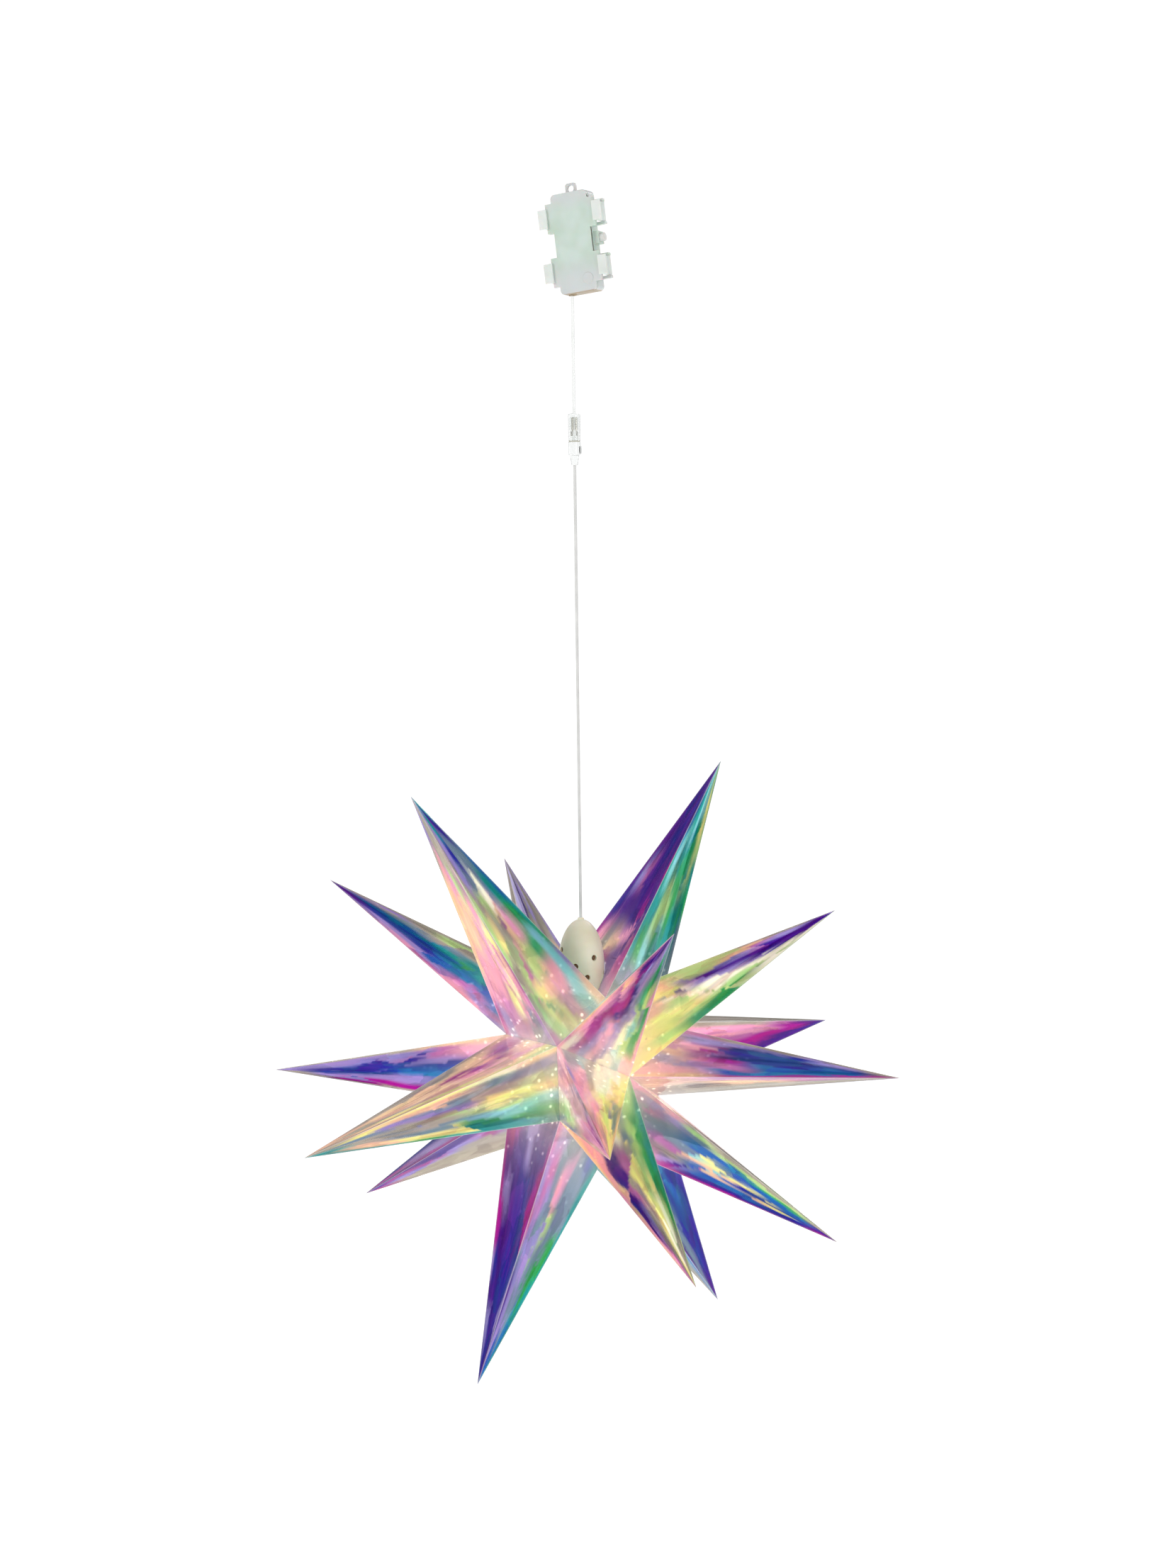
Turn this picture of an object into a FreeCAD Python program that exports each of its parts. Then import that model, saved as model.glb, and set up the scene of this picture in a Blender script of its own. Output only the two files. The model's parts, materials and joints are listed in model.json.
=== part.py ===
import FreeCAD, Part
import math
import os

# A hanging star lantern of clear iridescent film: a latched battery box with a hanging
# loop, a thin cord with an in-line plug and socket, an egg of small lamps, and a star of
# eighteen hollow film spikes around the egg.
#
# Frame: millimetres, +Z up. The origin is the middle of the hanging loop's hole and the
# box's cover faces -Y. The box hangs a little askew, because its cord leaves beside the
# middle, so that the cord runs straight down the Z axis.

os.makedirs("parts", exist_ok=True)
doc = FreeCAD.newDocument("star_lantern")
Vector = FreeCAD.Vector
X_AXIS, Y_AXIS, Z_AXIS = Vector(1, 0, 0), Vector(0, 1, 0), Vector(0, 0, 1)

SIZES = {
    # battery box, in its own frame: X across, Y from cover to back, Z up, loop at zero
    "loop_hole_radius": 3.0,
    "loop_wall": 1.8,
    "loop_thick": 2.6,
    "loop_corner": 2.4,
    "loop_rise": 3.6,
    "box_wide": "=2 * (cell_pitch + cell_radius + cell_room + box_wall)",
    "box_deep": 16.2,
    "box_tall": 85.0,
    "box_wall": 1.3,
    "box_round": 4.0,
    "hollow_round": 1.6,
    "cover_deep": 3.0,
    "pad_radius": 4.8,
    "pad_proud": 0.5,
    "pad_across": 10.0,
    "pad_drop": 74.5,
    "gasket_thick": 0.7,
    "gasket_wide": 0.9,
    "gasket_inset": 0.2,
    "shelf_drop": 51.1,
    # side latches
    "latch_high_drop": 19.5,
    "latch_low_drop": 65.3,
    "latch_tall": 16.4,
    "latch_thick": 2.2,
    "lip_tall": 25.0,
    "lip_reach": 5.8,
    "lip_thick": 2.5,
    "lip_gap": 0.6,
    "hook_gap": 0.3,
    "hook_bite": 1.4,
    "hook_thick": 2.0,
    "tab_reach": 3.7,
    "pin_out": 7.8,
    "pin_back": 4.0,
    "pin_radius": 0.95,
    "pin_clearance": 0.05,
    "knuckle_radius": 2.4,
    "ear_gap": 0.3,
    "ear_thick": 2.2,
    # push button on the right side
    "button_drop": 41.0,
    "button_radius": 3.6,
    "button_out": 4.0,
    "button_travel": 1.0,
    "button_clearance": 0.3,
    "boss_size": 10.4,
    "boss_front": -3.2,
    "boss_out": 4.8,
    # cells, contacts and board
    "cell_radius": 5.15,
    "cell_length": 43.5,
    "cell_pitch": 10.45,
    "cell_room": 0.1,
    "nub_radius": 1.9,
    "nub_length": 1.0,
    "plate_thick": 0.4,
    "plate_wide": 7.0,
    "spring_wire": 0.35,
    "spring_radius": 2.8,
    "board_wide": 19.5,
    "board_tall": 13.0,
    "board_thick": 1.2,
    "screw_radius": 1.0,
    # cord, its ball and bush
    "cord_offset": 9.6,
    "cord_radius": 1.3,
    "ball_rise": 3.5,
    "ball_radius": 2.6,
    "ball_clearance": 0.1,
    "bush_radius": 3.5,
    "bush_flange": 0.7,
    "bush_proud": 0.6,
    "swing_room": 23,
    "lead_radius": 0.45,
    # in-line socket and plug
    "socket_top": 190.0,
    "socket_long": 23.0,
    "coupler_radius": 5.2,
    "socket_bore": 3.5,
    "socket_depth": 20.0,
    "plug_long": 21.0,
    "plug_nose": 8.0,
    "plug_clearance": 0.1,
    "plug_tail_radius": 2.6,
    "contact_pitch": 3.2,
    "contact_radius": 1.15,
    "contact_long": 11.0,
    "prong_radius": 0.6,
    "prong_clearance": 0.05,
    "seal_thick": 1.0,
    # egg of lamps
    "star_drop": 761.4,
    "egg_top_rise": 131.0,
    "egg_radius": 20.3,
    "egg_crown": 40.0,
    "egg_bowl": 40.0,
    "egg_wall": 1.6,
    "egg_seam_turn": 10.0,
    "lamp_radius": 2.4,
    "lamp_clearance": 0.2,
    "lamp_recess": 0.4,
    "lamp_long": 6.5,
    "lamp_leg": 0.4,
    "post_radius": 3.5,
    "post_gap": 5.0,
    "grommet_radius": 2.8,
    "grommet_rise": 1.6,
    "grommet_deep": 4.4,
    # film star
    "film_wall": 0.3,
    "film_fit": 0.15,
    "core_out": 66.0,
    "core_half_band": 35.0,
    "core_pole": 63.0,
    "equator_reach": 298.0,
    "ring_reach": 285.0,
    "ring_latitude": 53.0,
    "star_heading": 65.0,
    "star_roll": 2.0,
}

# The lamps: each one's turn about the cord from the box's front, and its height above the
# star's centre. The same set is repeated half a turn round.
LAMP_PLACES = [(60, 99), (10, 92), (-40, 105), (40, 82), (-15, 72), (-75, 84)]

# How each film spike stands off its even place, as a hand-made star's spikes do: whole
# degrees round the polar axis, whole degrees towards the front pole, and reach in mm.
SPIKE_LEANS = {
    "equator": [(-2, 4, 5), (1, -5, 3), (4, 0, 0), (1, 2, -8), (1, 0, 0), (-2, 2, 0)],
    "front": [(-3, -2, 0), (-2, -2, 0), (2, 1, 0), (-5, 4, -2), (-1, 6, -5), (-2, 1, -4)],
    "back": [(-2, 2, 0), (5, 5, 7), (2, 2, 0), (1, -1, 0), (0, 0, 0), (0, 0, 0)],
}
RING_SIDE = {"equator": 0, "front": 1, "back": -1}

sheet = doc.addObject("Spreadsheet::Sheet", "sizes")
for row, (alias, number) in enumerate(SIZES.items(), start=1):
    sheet.set("A%d" % row, alias)
    sheet.set("B%d" % row, str(number))
    sheet.setAlias("B%d" % row, alias)
doc.recompute()

subparts = []


def size(alias):
    """One driving size, read back from the sheet."""
    return float(sheet.get(alias))


def bind(obj, **links):
    """Ties an object's properties to expressions; a double underscore stands for a dot."""
    for prop, text in links.items():
        obj.setExpression(prop.replace("__", "."), text)
    return obj


def add_block(name, wide, deep, tall, x, y, z):
    """A Part::Box of bound sizes, middled on x, with its low corner at y and z."""
    block = doc.addObject("Part::Box", name)
    bind(block, Length=wide, Width=deep, Height=tall)
    bind(block, Placement__Base__x="(%s) - (%s) / 2" % (x, wide))
    return bind(block, Placement__Base__y=y, Placement__Base__z=z)


def add_rod(name, radius, length, x, y, z):
    """An upright Part::Cylinder of bound sizes, with its low end at z."""
    rod = doc.addObject("Part::Cylinder", name)
    bind(rod, Radius=radius, Height=length)
    return bind(rod, Placement__Base__x=x, Placement__Base__y=y, Placement__Base__z=z)


def add_fuse(name, shapes):
    fuse = doc.addObject("Part::MultiFuse", name)
    fuse.Shapes = shapes
    fuse.Refine = True
    return fuse


def add_cut(name, base, tool):
    cut = doc.addObject("Part::Cut", name)
    cut.Base = base
    cut.Tool = tool
    cut.Refine = True
    return cut


def add_shape(name, shape):
    """A Part::Feature for a shape worked out from the sheet's values."""
    feature = doc.addObject("Part::Feature", name)
    feature.Shape = shape
    return feature


def keep(obj, label, placement=None):
    """Names a finished sub-part and gives it its place."""
    obj.Label = label
    obj.Placement = placement if placement else FreeCAD.Placement()
    subparts.append(obj)
    return obj


def round_edges(name, base, radius, axis, middle_only=None):
    """A Part::Fillet on the straight edges of base that run along axis."""
    doc.recompute()
    chosen = []
    for number, edge in enumerate(base.Shape.Edges, start=1):
        if edge.Curve.TypeId != "Part::GeomLine":
            continue
        along = abs(edge.tangentAt(edge.FirstParameter).dot(axis)) > 0.999
        if along and (middle_only is None or middle_only(edge.CenterOfMass)):
            chosen.append((number, radius, radius))
    fillet = doc.addObject("Part::Fillet", name)
    fillet.Base = base
    fillet.Edges = chosen
    return fillet


def ball_depth():
    """How far the cord's ball lies below the loop's hole, in the box's own frame."""
    return size("loop_rise") + size("box_tall") - size("ball_rise")


def box_tilt():
    """The box hangs askew by the angle that brings the cord's ball under the loop."""
    return math.degrees(math.atan2(size("cord_offset"), ball_depth()))


BOX_PLACE = FreeCAD.Placement(Vector(), FreeCAD.Rotation(Y_AXIS, -box_tilt()))
BOX_TOP = "-sizes.loop_rise"
BOX_LOW = "-sizes.loop_rise - sizes.box_tall"
BACK = "sizes.box_deep / 2"
FRONT = "-sizes.box_deep / 2"
TRAY_DEEP = "(sizes.box_deep - sizes.cover_deep - sizes.gasket_thick)"
SIDES = (("right", 1), ("left", -1))
LEVELS = (("upper", "latch_high_drop"), ("lower", "latch_low_drop"))


def latch_spots():
    """Each latch's name, its side of the box and the height of its middle."""
    for side_name, side in SIDES:
        for level_name, drop in LEVELS:
            middle = "(-sizes.loop_rise - sizes.%s)" % drop
            yield "latch_%s_%s" % (side_name, level_name), side, middle


def pin_x(side):
    return "%d * (sizes.box_wide / 2 + sizes.pin_out)" % side


PIN_Y = "(sizes.box_deep / 2 - sizes.pin_back)"


def half_shell(name, deep, y, floor_at):
    """One half of the box's case: a rounded block hollowed from its open side."""
    outer = add_block(name + "_outer", "sizes.box_wide", deep, "sizes.box_tall", "0", y, BOX_LOW)
    rounded = round_edges(name + "_rounded", outer, size("box_round"), Y_AXIS)
    inner = add_block(
        name + "_hollow",
        "sizes.box_wide - 2 * sizes.box_wall",
        deep,
        "sizes.box_tall - 2 * sizes.box_wall",
        "0",
        "%s + (%s)" % (y, floor_at),
        BOX_LOW + " + sizes.box_wall",
    )
    softened = round_edges(name + "_hollow_round", inner, size("hollow_round"), Y_AXIS)
    return add_cut(name + "_shell", rounded, softened)


def make_loop():
    """The hanging loop: a square-shouldered lug with a round hole, on the tray's top edge."""
    half = size("loop_hole_radius") + size("loop_wall")
    low = -size("loop_rise") - 0.5
    lug = Part.makeBox(2 * half, size("loop_thick"), half - low,
                       Vector(-half, -size("loop_thick") / 2, low))
    shoulders = [edge for edge in lug.Edges
                 if edge.BoundBox.ZMin > half - 0.01 and edge.BoundBox.XLength < 0.01]
    hole = Part.makeCylinder(size("loop_hole_radius"), 2 * size("loop_thick"),
                             Vector(0, -size("loop_thick"), 0), Y_AXIS)
    return add_shape("loop_lug", lug.makeFillet(size("loop_corner"), shoulders).cut(hole))


def make_ears():
    """Pairs of lugs on the tray's sides that hold each latch's pin."""
    ears = []
    for name, side, middle in latch_spots():
        for end in (-1, 1):
            ear = doc.addObject("Part::Box", "%s_ear_%d" % (name, end + 1))
            reach = "(sizes.pin_out + sizes.pin_radius + 1.2 + sizes.box_wall / 2)"
            low = "%s + %d * (sizes.latch_tall / 2 + sizes.ear_gap + sizes.ear_thick / 2)" % (middle, end)
            bind(ear, Length=reach, Width="2 * (sizes.pin_radius + 1.5)", Height="sizes.ear_thick")
            start = "sizes.box_wide / 2 - sizes.box_wall / 2"
            corner = start if side > 0 else "-(%s) - %s" % (start, reach)
            bind(ear, Placement__Base__x=corner,
                 Placement__Base__y=PIN_Y + " - sizes.pin_radius - 1.5",
                 Placement__Base__z=low + " - sizes.ear_thick / 2")
            ears.append(ear)
    return ears


def pin_hole_rods(name, radius, grow):
    """One upright rod on each latch's pin axis, as long as the lugs are apart, plus grow."""
    rods = []
    for latch, side, middle in latch_spots():
        half = "(sizes.latch_tall / 2 + sizes.ear_gap + sizes.ear_thick + %s)" % grow
        rods.append(add_rod("%s_%s" % (name, latch), radius, "2 * " + half,
                            pin_x(side), PIN_Y, "%s - %s" % (middle, half)))
    return rods


def make_tray():
    """The back half of the case, with the loop, pin lugs, shelf, switch boss and bush hole."""
    tray_y = "-(sizes.box_deep / 2 - sizes.cover_deep - sizes.gasket_thick)"
    shell = half_shell("tray", TRAY_DEEP, tray_y, "-sizes.box_wall")
    shelf = add_block("tray_shelf", "sizes.box_wide - sizes.box_wall",
                      TRAY_DEEP + " - sizes.box_wall / 2", "sizes.box_wall", "0", tray_y,
                      BOX_TOP + " - sizes.shelf_drop - sizes.box_wall")
    boss = add_block("switch_boss", "sizes.boss_out + sizes.box_wall / 2", "sizes.boss_size",
                     "sizes.boss_size",
                     "sizes.box_wide / 2 + (sizes.boss_out - sizes.box_wall / 2) / 2",
                     "sizes.boss_front", BOX_TOP + " - sizes.button_drop - sizes.boss_size / 2")
    solid = add_fuse("tray_solid", [shell, shelf, boss, make_loop()] + make_ears())
    holes = pin_hole_rods("ear_hole", "sizes.pin_radius", "1")
    middle = Vector(0, size("boss_front") + size("boss_size") / 2,
                    -size("loop_rise") - size("button_drop"))
    room = Part.makeBox(size("boss_out") - 1.0, size("boss_size") - 2.4, size("boss_size") - 2.4)
    room.translate(middle + Vector(size("box_wide") / 2 - 0.2, 1.2 - size("boss_size") / 2,
                                   1.2 - size("boss_size") / 2))
    mouth = Part.makeCylinder(size("button_radius") + size("button_clearance"), 5,
                              middle + Vector(size("box_wide") / 2 + 1, 0, 0), X_AXIS)
    bush_hole = Part.makeCylinder(size("bush_radius"), 4 * size("box_wall"),
                                  Vector(-size("cord_offset"), 0,
                                         -size("loop_rise") - size("box_tall") - size("box_wall")),
                                  Z_AXIS)
    openings = add_shape("tray_openings", room.fuse(mouth))
    bush_cut = add_shape("bush_opening", bush_hole)
    tools = add_fuse("tray_tools", holes + [openings, bush_cut])
    keep(add_cut("tray", solid, tools), "battery_tray", BOX_PLACE)


def make_cover():
    """The front half of the case, with a lip at each latch and a round pad low on its face."""
    shell = half_shell("cover", "sizes.cover_deep", FRONT, "sizes.box_wall")
    pad_back = -size("box_deep") / 2 + size("box_wall") / 2
    pad = Part.makeCylinder(size("pad_radius"), size("pad_proud") + size("box_wall") / 2,
                            Vector(size("pad_across"), pad_back,
                                   -size("loop_rise") - size("pad_drop")), -Y_AXIS)
    pieces = [shell, add_shape("cover_pad", pad)]
    for name, side, middle in latch_spots():
        wide = "(sizes.lip_reach + sizes.box_wall / 2)"
        x = "%d * (sizes.box_wide / 2 - sizes.box_wall / 2 + %s / 2)" % (side, wide)
        pieces.append(add_block(name + "_lip", wide, "sizes.lip_thick", "sizes.lip_tall", x, FRONT,
                                "%s - sizes.lip_tall / 2" % middle))
    keep(add_fuse("cover_solid", pieces), "battery_cover", BOX_PLACE)


def make_gasket():
    """A flat rubber ring between the two halves of the case."""
    y = "sizes.cover_deep - sizes.box_deep / 2"
    outer = add_block("gasket_outer", "sizes.box_wide - 2 * sizes.gasket_inset",
                      "sizes.gasket_thick", "sizes.box_tall - 2 * sizes.gasket_inset", "0", y,
                      BOX_LOW + " + sizes.gasket_inset")
    inset = "(sizes.gasket_inset + sizes.gasket_wide)"
    inner = add_block("gasket_inner", "sizes.box_wide - 2 * " + inset, "3 * sizes.gasket_thick",
                      "sizes.box_tall - 2 * " + inset, "0", y + " - sizes.gasket_thick",
                      BOX_LOW + " + " + inset)
    outer_round = round_edges("gasket_outer_round", outer,
                              size("box_round") - size("gasket_inset"), Y_AXIS)
    inner_round = round_edges("gasket_inner_round", inner,
                              size("box_round") - size("gasket_inset") - size("gasket_wide"), Y_AXIS)
    keep(add_cut("gasket", outer_round, inner_round), "box_gasket", BOX_PLACE)


def make_latch(name, side, middle):
    """One latch: a knuckle on the pin, an arm along the side, a hook and a thumb tab."""
    low = "%s - sizes.latch_tall / 2" % middle
    arm_in = "(sizes.box_wide / 2 + sizes.lip_reach + sizes.lip_gap)"
    front = "(-sizes.box_deep / 2 - sizes.hook_gap - sizes.hook_thick)"
    arm = add_block(name + "_arm", "sizes.latch_thick", PIN_Y + " - " + front, "sizes.latch_tall",
                    "%d * (%s + sizes.latch_thick / 2)" % (side, arm_in), front, low)
    hook_wide = "(sizes.hook_bite + sizes.lip_gap + sizes.latch_thick)"
    hook = add_block(name + "_hook", hook_wide, "sizes.hook_thick", "sizes.latch_tall",
                     "%d * (%s + sizes.latch_thick - %s / 2)" % (side, arm_in, hook_wide), front, low)
    tab_wide = "(sizes.tab_reach + sizes.latch_thick)"
    tab = add_block(name + "_tab", tab_wide, "sizes.hook_thick * 0.7", "sizes.latch_tall",
                    "%d * (%s + %s / 2)" % (side, arm_in, tab_wide), front, low)
    knuckle = add_rod(name + "_knuckle", "sizes.knuckle_radius", "sizes.latch_tall",
                      pin_x(side), PIN_Y, low)
    solid = add_fuse(name + "_solid", [arm, hook, tab, knuckle])
    bore = add_rod(name + "_bore", "sizes.pin_radius + sizes.pin_clearance", "sizes.latch_tall + 2",
                   pin_x(side), PIN_Y, low + " - 1")
    keep(add_cut(name + "_cut", solid, bore), name, BOX_PLACE)


def make_latch_pins():
    """The four hinge pins, one through each latch and its two lugs."""
    doc.recompute()
    rods = pin_hole_rods("hinge_pin", "sizes.pin_radius", "0")
    group = doc.addObject("Part::Compound", "pins")
    group.Links = rods
    keep(group, "latch_pins", BOX_PLACE)


def button_middle():
    return Vector(size("box_wide") / 2 + size("boss_out"),
                  size("boss_front") + size("boss_size") / 2,
                  -size("loop_rise") - size("button_drop"))


def make_button():
    """The rubber-soft push button, standing out of the boss, and the small switch behind it."""
    middle = button_middle()
    skirt = 1.6
    cap = Part.makeCylinder(size("button_radius"), size("button_out") + skirt,
                            middle - Vector(skirt, 0, 0), X_AXIS)
    far = [edge for edge in cap.Edges
           if edge.BoundBox.XMin > middle.x + size("button_out") - 0.01]
    keep(add_shape("button_cap", cap.makeFillet(0.8, far)), "power_button", BOX_PLACE)
    side = 6.0
    room = size("boss_out") - 1.2 - skirt - size("button_travel") + 1.0
    body = Part.makeBox(room - 0.6, side, side,
                        Vector(size("box_wide") / 2 - 0.2, middle.y - side / 2, middle.z - side / 2))
    keep(add_shape("switch_body", body), "tact_switch", BOX_PLACE)


def cell_spots():
    """The three cells: number, place across the box, and whether the nub points up."""
    for number in range(3):
        yield number + 1, (number - 1) * size("cell_pitch"), number != 1


def bay_top():
    return -size("loop_rise") - size("box_wall")


def bay_low():
    return -size("loop_rise") - size("shelf_drop")


def make_cells():
    """Three AAA cells side by side, the middle one turned end for end."""
    for number, x, nub_up in cell_spots():
        body = doc.addObject("PartDesign::Body", "cell_%d" % number)
        sketch = body.newObject("Sketcher::SketchObject", "cell_profile_%d" % number)
        plane = [f for f in body.Origin.OriginFeatures if f.Role == "XZ_Plane"][0]
        sketch.AttachmentSupport = [(plane, "")]
        sketch.MapMode = "FlatFace"
        radius, nub, long, tip = (size(k) for k in
                                  ("cell_radius", "nub_radius", "cell_length", "nub_length"))
        ring = [(0, 0), (radius, 0), (radius, long), (nub, long), (nub, long + tip), (0, long + tip)]
        for k, (r, z) in enumerate(ring):
            r_next, z_next = ring[(k + 1) % len(ring)]
            sketch.addGeometry(Part.LineSegment(Vector(r, z, 0), Vector(r_next, z_next, 0)))
        turn = body.newObject("PartDesign::Revolution", "cell_turn_%d" % number)
        turn.Profile = sketch
        turn.ReferenceAxis = (sketch, ["V_Axis"])
        turn.Angle = 360
        rest = size("plate_thick")
        if nub_up:
            place = FreeCAD.Placement(Vector(x, 0, bay_top() - rest - long - tip),
                                      FreeCAD.Rotation())
        else:
            place = FreeCAD.Placement(Vector(x, 0, bay_low() + rest + long + tip),
                                      FreeCAD.Rotation(X_AXIS, 180))
        keep(body, "battery_cell_%d" % number, BOX_PLACE.multiply(place))


def contact_plates():
    """A thin plate against each end of every cell's place."""
    plates = []
    for number, x, nub_up in cell_spots():
        for z in (bay_top() - size("plate_thick"), bay_low()):
            half = size("plate_wide") / 2
            plates.append(Part.makeBox(2 * half, 2 * half, size("plate_thick"),
                                       Vector(x - half, -half, z)))
    return plates


def contact_spring(foot, tall):
    """A pressed spring: level turns of wire, each joined to the next by a short upright."""
    wire, radius, turns = size("spring_wire"), size("spring_radius"), 4
    gap = (tall - 2 * wire) / (turns - 1)
    spring = None
    for k in range(turns):
        centre = foot + Vector(0, 0, wire + k * gap)
        turn = Part.makeTorus(radius, wire, centre)
        spring = turn if spring is None else spring.fuse(turn)
        if k < turns - 1:
            side = radius if k % 2 else -radius
            spring = spring.fuse(Part.makeCylinder(wire * 0.9, gap, centre + Vector(side, 0, 0)))
    return spring


def make_contacts():
    """Nickelled contact plates, and a spring at each cell's flat end."""
    keep(add_shape("plates", Part.makeCompound(contact_plates())), "contact_plates", BOX_PLACE)
    room = bay_top() - bay_low() - 2 * size("plate_thick") - size("cell_length") - size("nub_length")
    springs = []
    for number, x, nub_up in cell_spots():
        low = bay_low() + size("plate_thick") if nub_up else bay_top() - size("plate_thick") - room
        springs.append(contact_spring(Vector(x, 0, low), room))
    keep(add_shape("springs", Part.makeCompound(springs)), "contact_springs", BOX_PLACE)


def board_low_corner():
    return Vector(-4.5, 1.0, -size("loop_rise") - size("box_tall") + size("box_wall") + 3.2)


def make_board():
    """The timer board below the cells, its two posts' screws, and the two inner leads."""
    body = doc.addObject("PartDesign::Body", "board")
    sketch = body.newObject("Sketcher::SketchObject", "board_outline")
    plane = [f for f in body.Origin.OriginFeatures if f.Role == "XZ_Plane"][0]
    sketch.AttachmentSupport = [(plane, "")]
    sketch.MapMode = "FlatFace"
    wide, tall = size("board_wide"), size("board_tall")
    corners = [(0, 0), (wide, 0), (wide, tall), (0, tall)]
    for k, (x, z) in enumerate(corners):
        x_next, z_next = corners[(k + 1) % len(corners)]
        sketch.addGeometry(Part.LineSegment(Vector(x, z, 0), Vector(x_next, z_next, 0)))
    for x in (4.0, wide - 4.0):
        sketch.addGeometry(Part.Circle(Vector(x, tall / 2, 0), Z_AXIS, size("screw_radius")))
    pad = body.newObject("PartDesign::Pad", "board_pad")
    pad.Profile = sketch
    bind(pad, Length="sizes.board_thick")
    pad.Reversed = True
    corner = board_low_corner()
    place = BOX_PLACE.multiply(FreeCAD.Placement(corner, FreeCAD.Rotation()))
    keep(body, "timer_board", place)
    screws = []
    posts = []
    back = size("box_deep") / 2 - size("box_wall")
    for x in (4.0, wide - 4.0):
        spot = corner + Vector(x, 0, tall / 2)
        shank = Part.makeCylinder(size("screw_radius"), size("board_thick") + 4, spot, Y_AXIS)
        head = Part.makeCylinder(2 * size("screw_radius"), 1.2, spot - Vector(0, 1.2, 0), Y_AXIS)
        screws.append(head.fuse(shank))
        foot = spot + Vector(0, size("board_thick"), 0)
        post = Part.makeCylinder(2.4 * size("screw_radius"), back - foot.y, foot, Y_AXIS)
        hole = Part.makeCylinder(size("screw_radius"), 4, foot, Y_AXIS)
        posts.append(post.cut(hole))
    keep(add_shape("screws", Part.makeCompound(screws)), "board_screws", BOX_PLACE)
    keep(add_shape("posts", Part.makeCompound(posts)), "board_posts", BOX_PLACE)


def bent_wire(points, radius):
    """Round wire along straight runs, with a ball at each corner."""
    wire = None
    for start, end in zip(points, points[1:]):
        run = Part.makeCylinder(radius, (end - start).Length, start, end - start)
        wire = run if wire is None else wire.fuse(run)
    for corner in points[1:-1]:
        wire = wire.fuse(Part.makeSphere(radius, corner))
    return wire


def make_leads():
    """Two insulated leads from the bush to the board's edge."""
    corner = board_low_corner()
    top = -ball_depth() + size("ball_radius") + 1.5
    leads = []
    for k, y in enumerate((-1.0, 1.0)):
        x = -size("cord_offset")
        turn = corner.z + 4 + 2.4 * k
        edge_y = corner.y + size("board_thick") / 2
        leads.append(bent_wire([Vector(x, y, top), Vector(x, y, turn), Vector(x, edge_y, turn),
                                Vector(corner.x, edge_y, turn)], size("lead_radius")))
    keep(add_shape("leads", Part.makeCompound(leads)), "inner_leads", BOX_PLACE)


def make_bush():
    """The rubber bush in the box's floor: a ball seat above a flared mouth for the cord."""
    x = -size("cord_offset")
    ball_z = -ball_depth()
    floor = -size("loop_rise") - size("box_tall")
    low = floor - size("bush_proud")
    top = ball_z + size("ball_radius") + 1.5
    body = Part.makeCylinder(size("bush_radius"), top - low, Vector(x, 0, low), Z_AXIS)
    flange_low = floor + size("box_wall")
    flange = Part.makeCylinder(size("bush_radius") + size("bush_flange"), 1.2,
                               Vector(x, 0, flange_low), Z_AXIS)
    seat = Part.makeSphere(size("ball_radius") + size("ball_clearance"), Vector(x, 0, ball_z))
    slope = math.tan(math.radians(size("swing_room")))
    start = size("cord_radius") / math.cos(math.radians(size("swing_room"))) + 0.15
    deep = ball_z - low + 1
    flare = Part.makeCone(start, start + slope * deep, deep, Vector(x, 0, ball_z), Vector(0, 0, -1))
    keep(add_shape("bush", body.fuse(flange).cut(seat).cut(flare)), "cord_bush", BOX_PLACE)


def ball_point():
    """The middle of the cord's ball, on the Z axis under the loop."""
    return Vector(0, 0, -math.hypot(size("cord_offset"), ball_depth()))


def make_ball():
    """The ball on the cord's end that swings in the bush."""
    keep(add_shape("ball", Part.makeSphere(size("ball_radius"), ball_point())), "cord_ball")


def cord_tube(name, points):
    """A plain tube of the cord's radius along a taut straight run."""
    start, end = points
    tube = Part.makeCylinder(size("cord_radius"), (end - start).Length, start, end - start)
    keep(add_shape(name + "_tube", tube), name)


def make_cords():
    """Both stretches hang taut, so each is one straight run between its two ends."""
    upper = [Vector(0, 0, -88.3), Vector(0, 0, -190.0)]
    lower = [Vector(0, 0, -234.0), Vector(0, 0, -628.8)]
    cord_tube("upper_cord", upper)
    cord_tube("lower_cord", lower)


def contact_places():
    return [Vector(side * size("contact_pitch") / 2, 0, 0) for side in (-1, 1)]


def make_socket():
    """The clear socket: a tube closed at the top, with two metal contact sleeves inside."""
    top = -size("socket_top")
    mouth = top - size("socket_long")
    roof = mouth + size("socket_depth")
    body = Part.makeCylinder(size("coupler_radius"), size("socket_long"), Vector(0, 0, mouth))
    upper_rim = [e for e in body.Edges if e.BoundBox.ZMin > top - 0.01]
    body = body.makeFillet(1.4, upper_rim)
    bore = Part.makeCylinder(size("socket_bore"), size("socket_depth"), Vector(0, 0, mouth))
    keep(add_shape("socket", body.cut(bore)), "socket_shell")
    sleeves = []
    for spot in contact_places():
        low = spot + Vector(0, 0, roof - size("contact_long"))
        tube = Part.makeCylinder(size("contact_radius"), size("contact_long"), low)
        hole = Part.makeCylinder(size("prong_radius") + size("prong_clearance"),
                                 size("contact_long") - 1, low)
        sleeves.append(tube.cut(hole))
    keep(add_shape("sleeves", Part.makeCompound(sleeves)), "socket_contacts")


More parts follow.
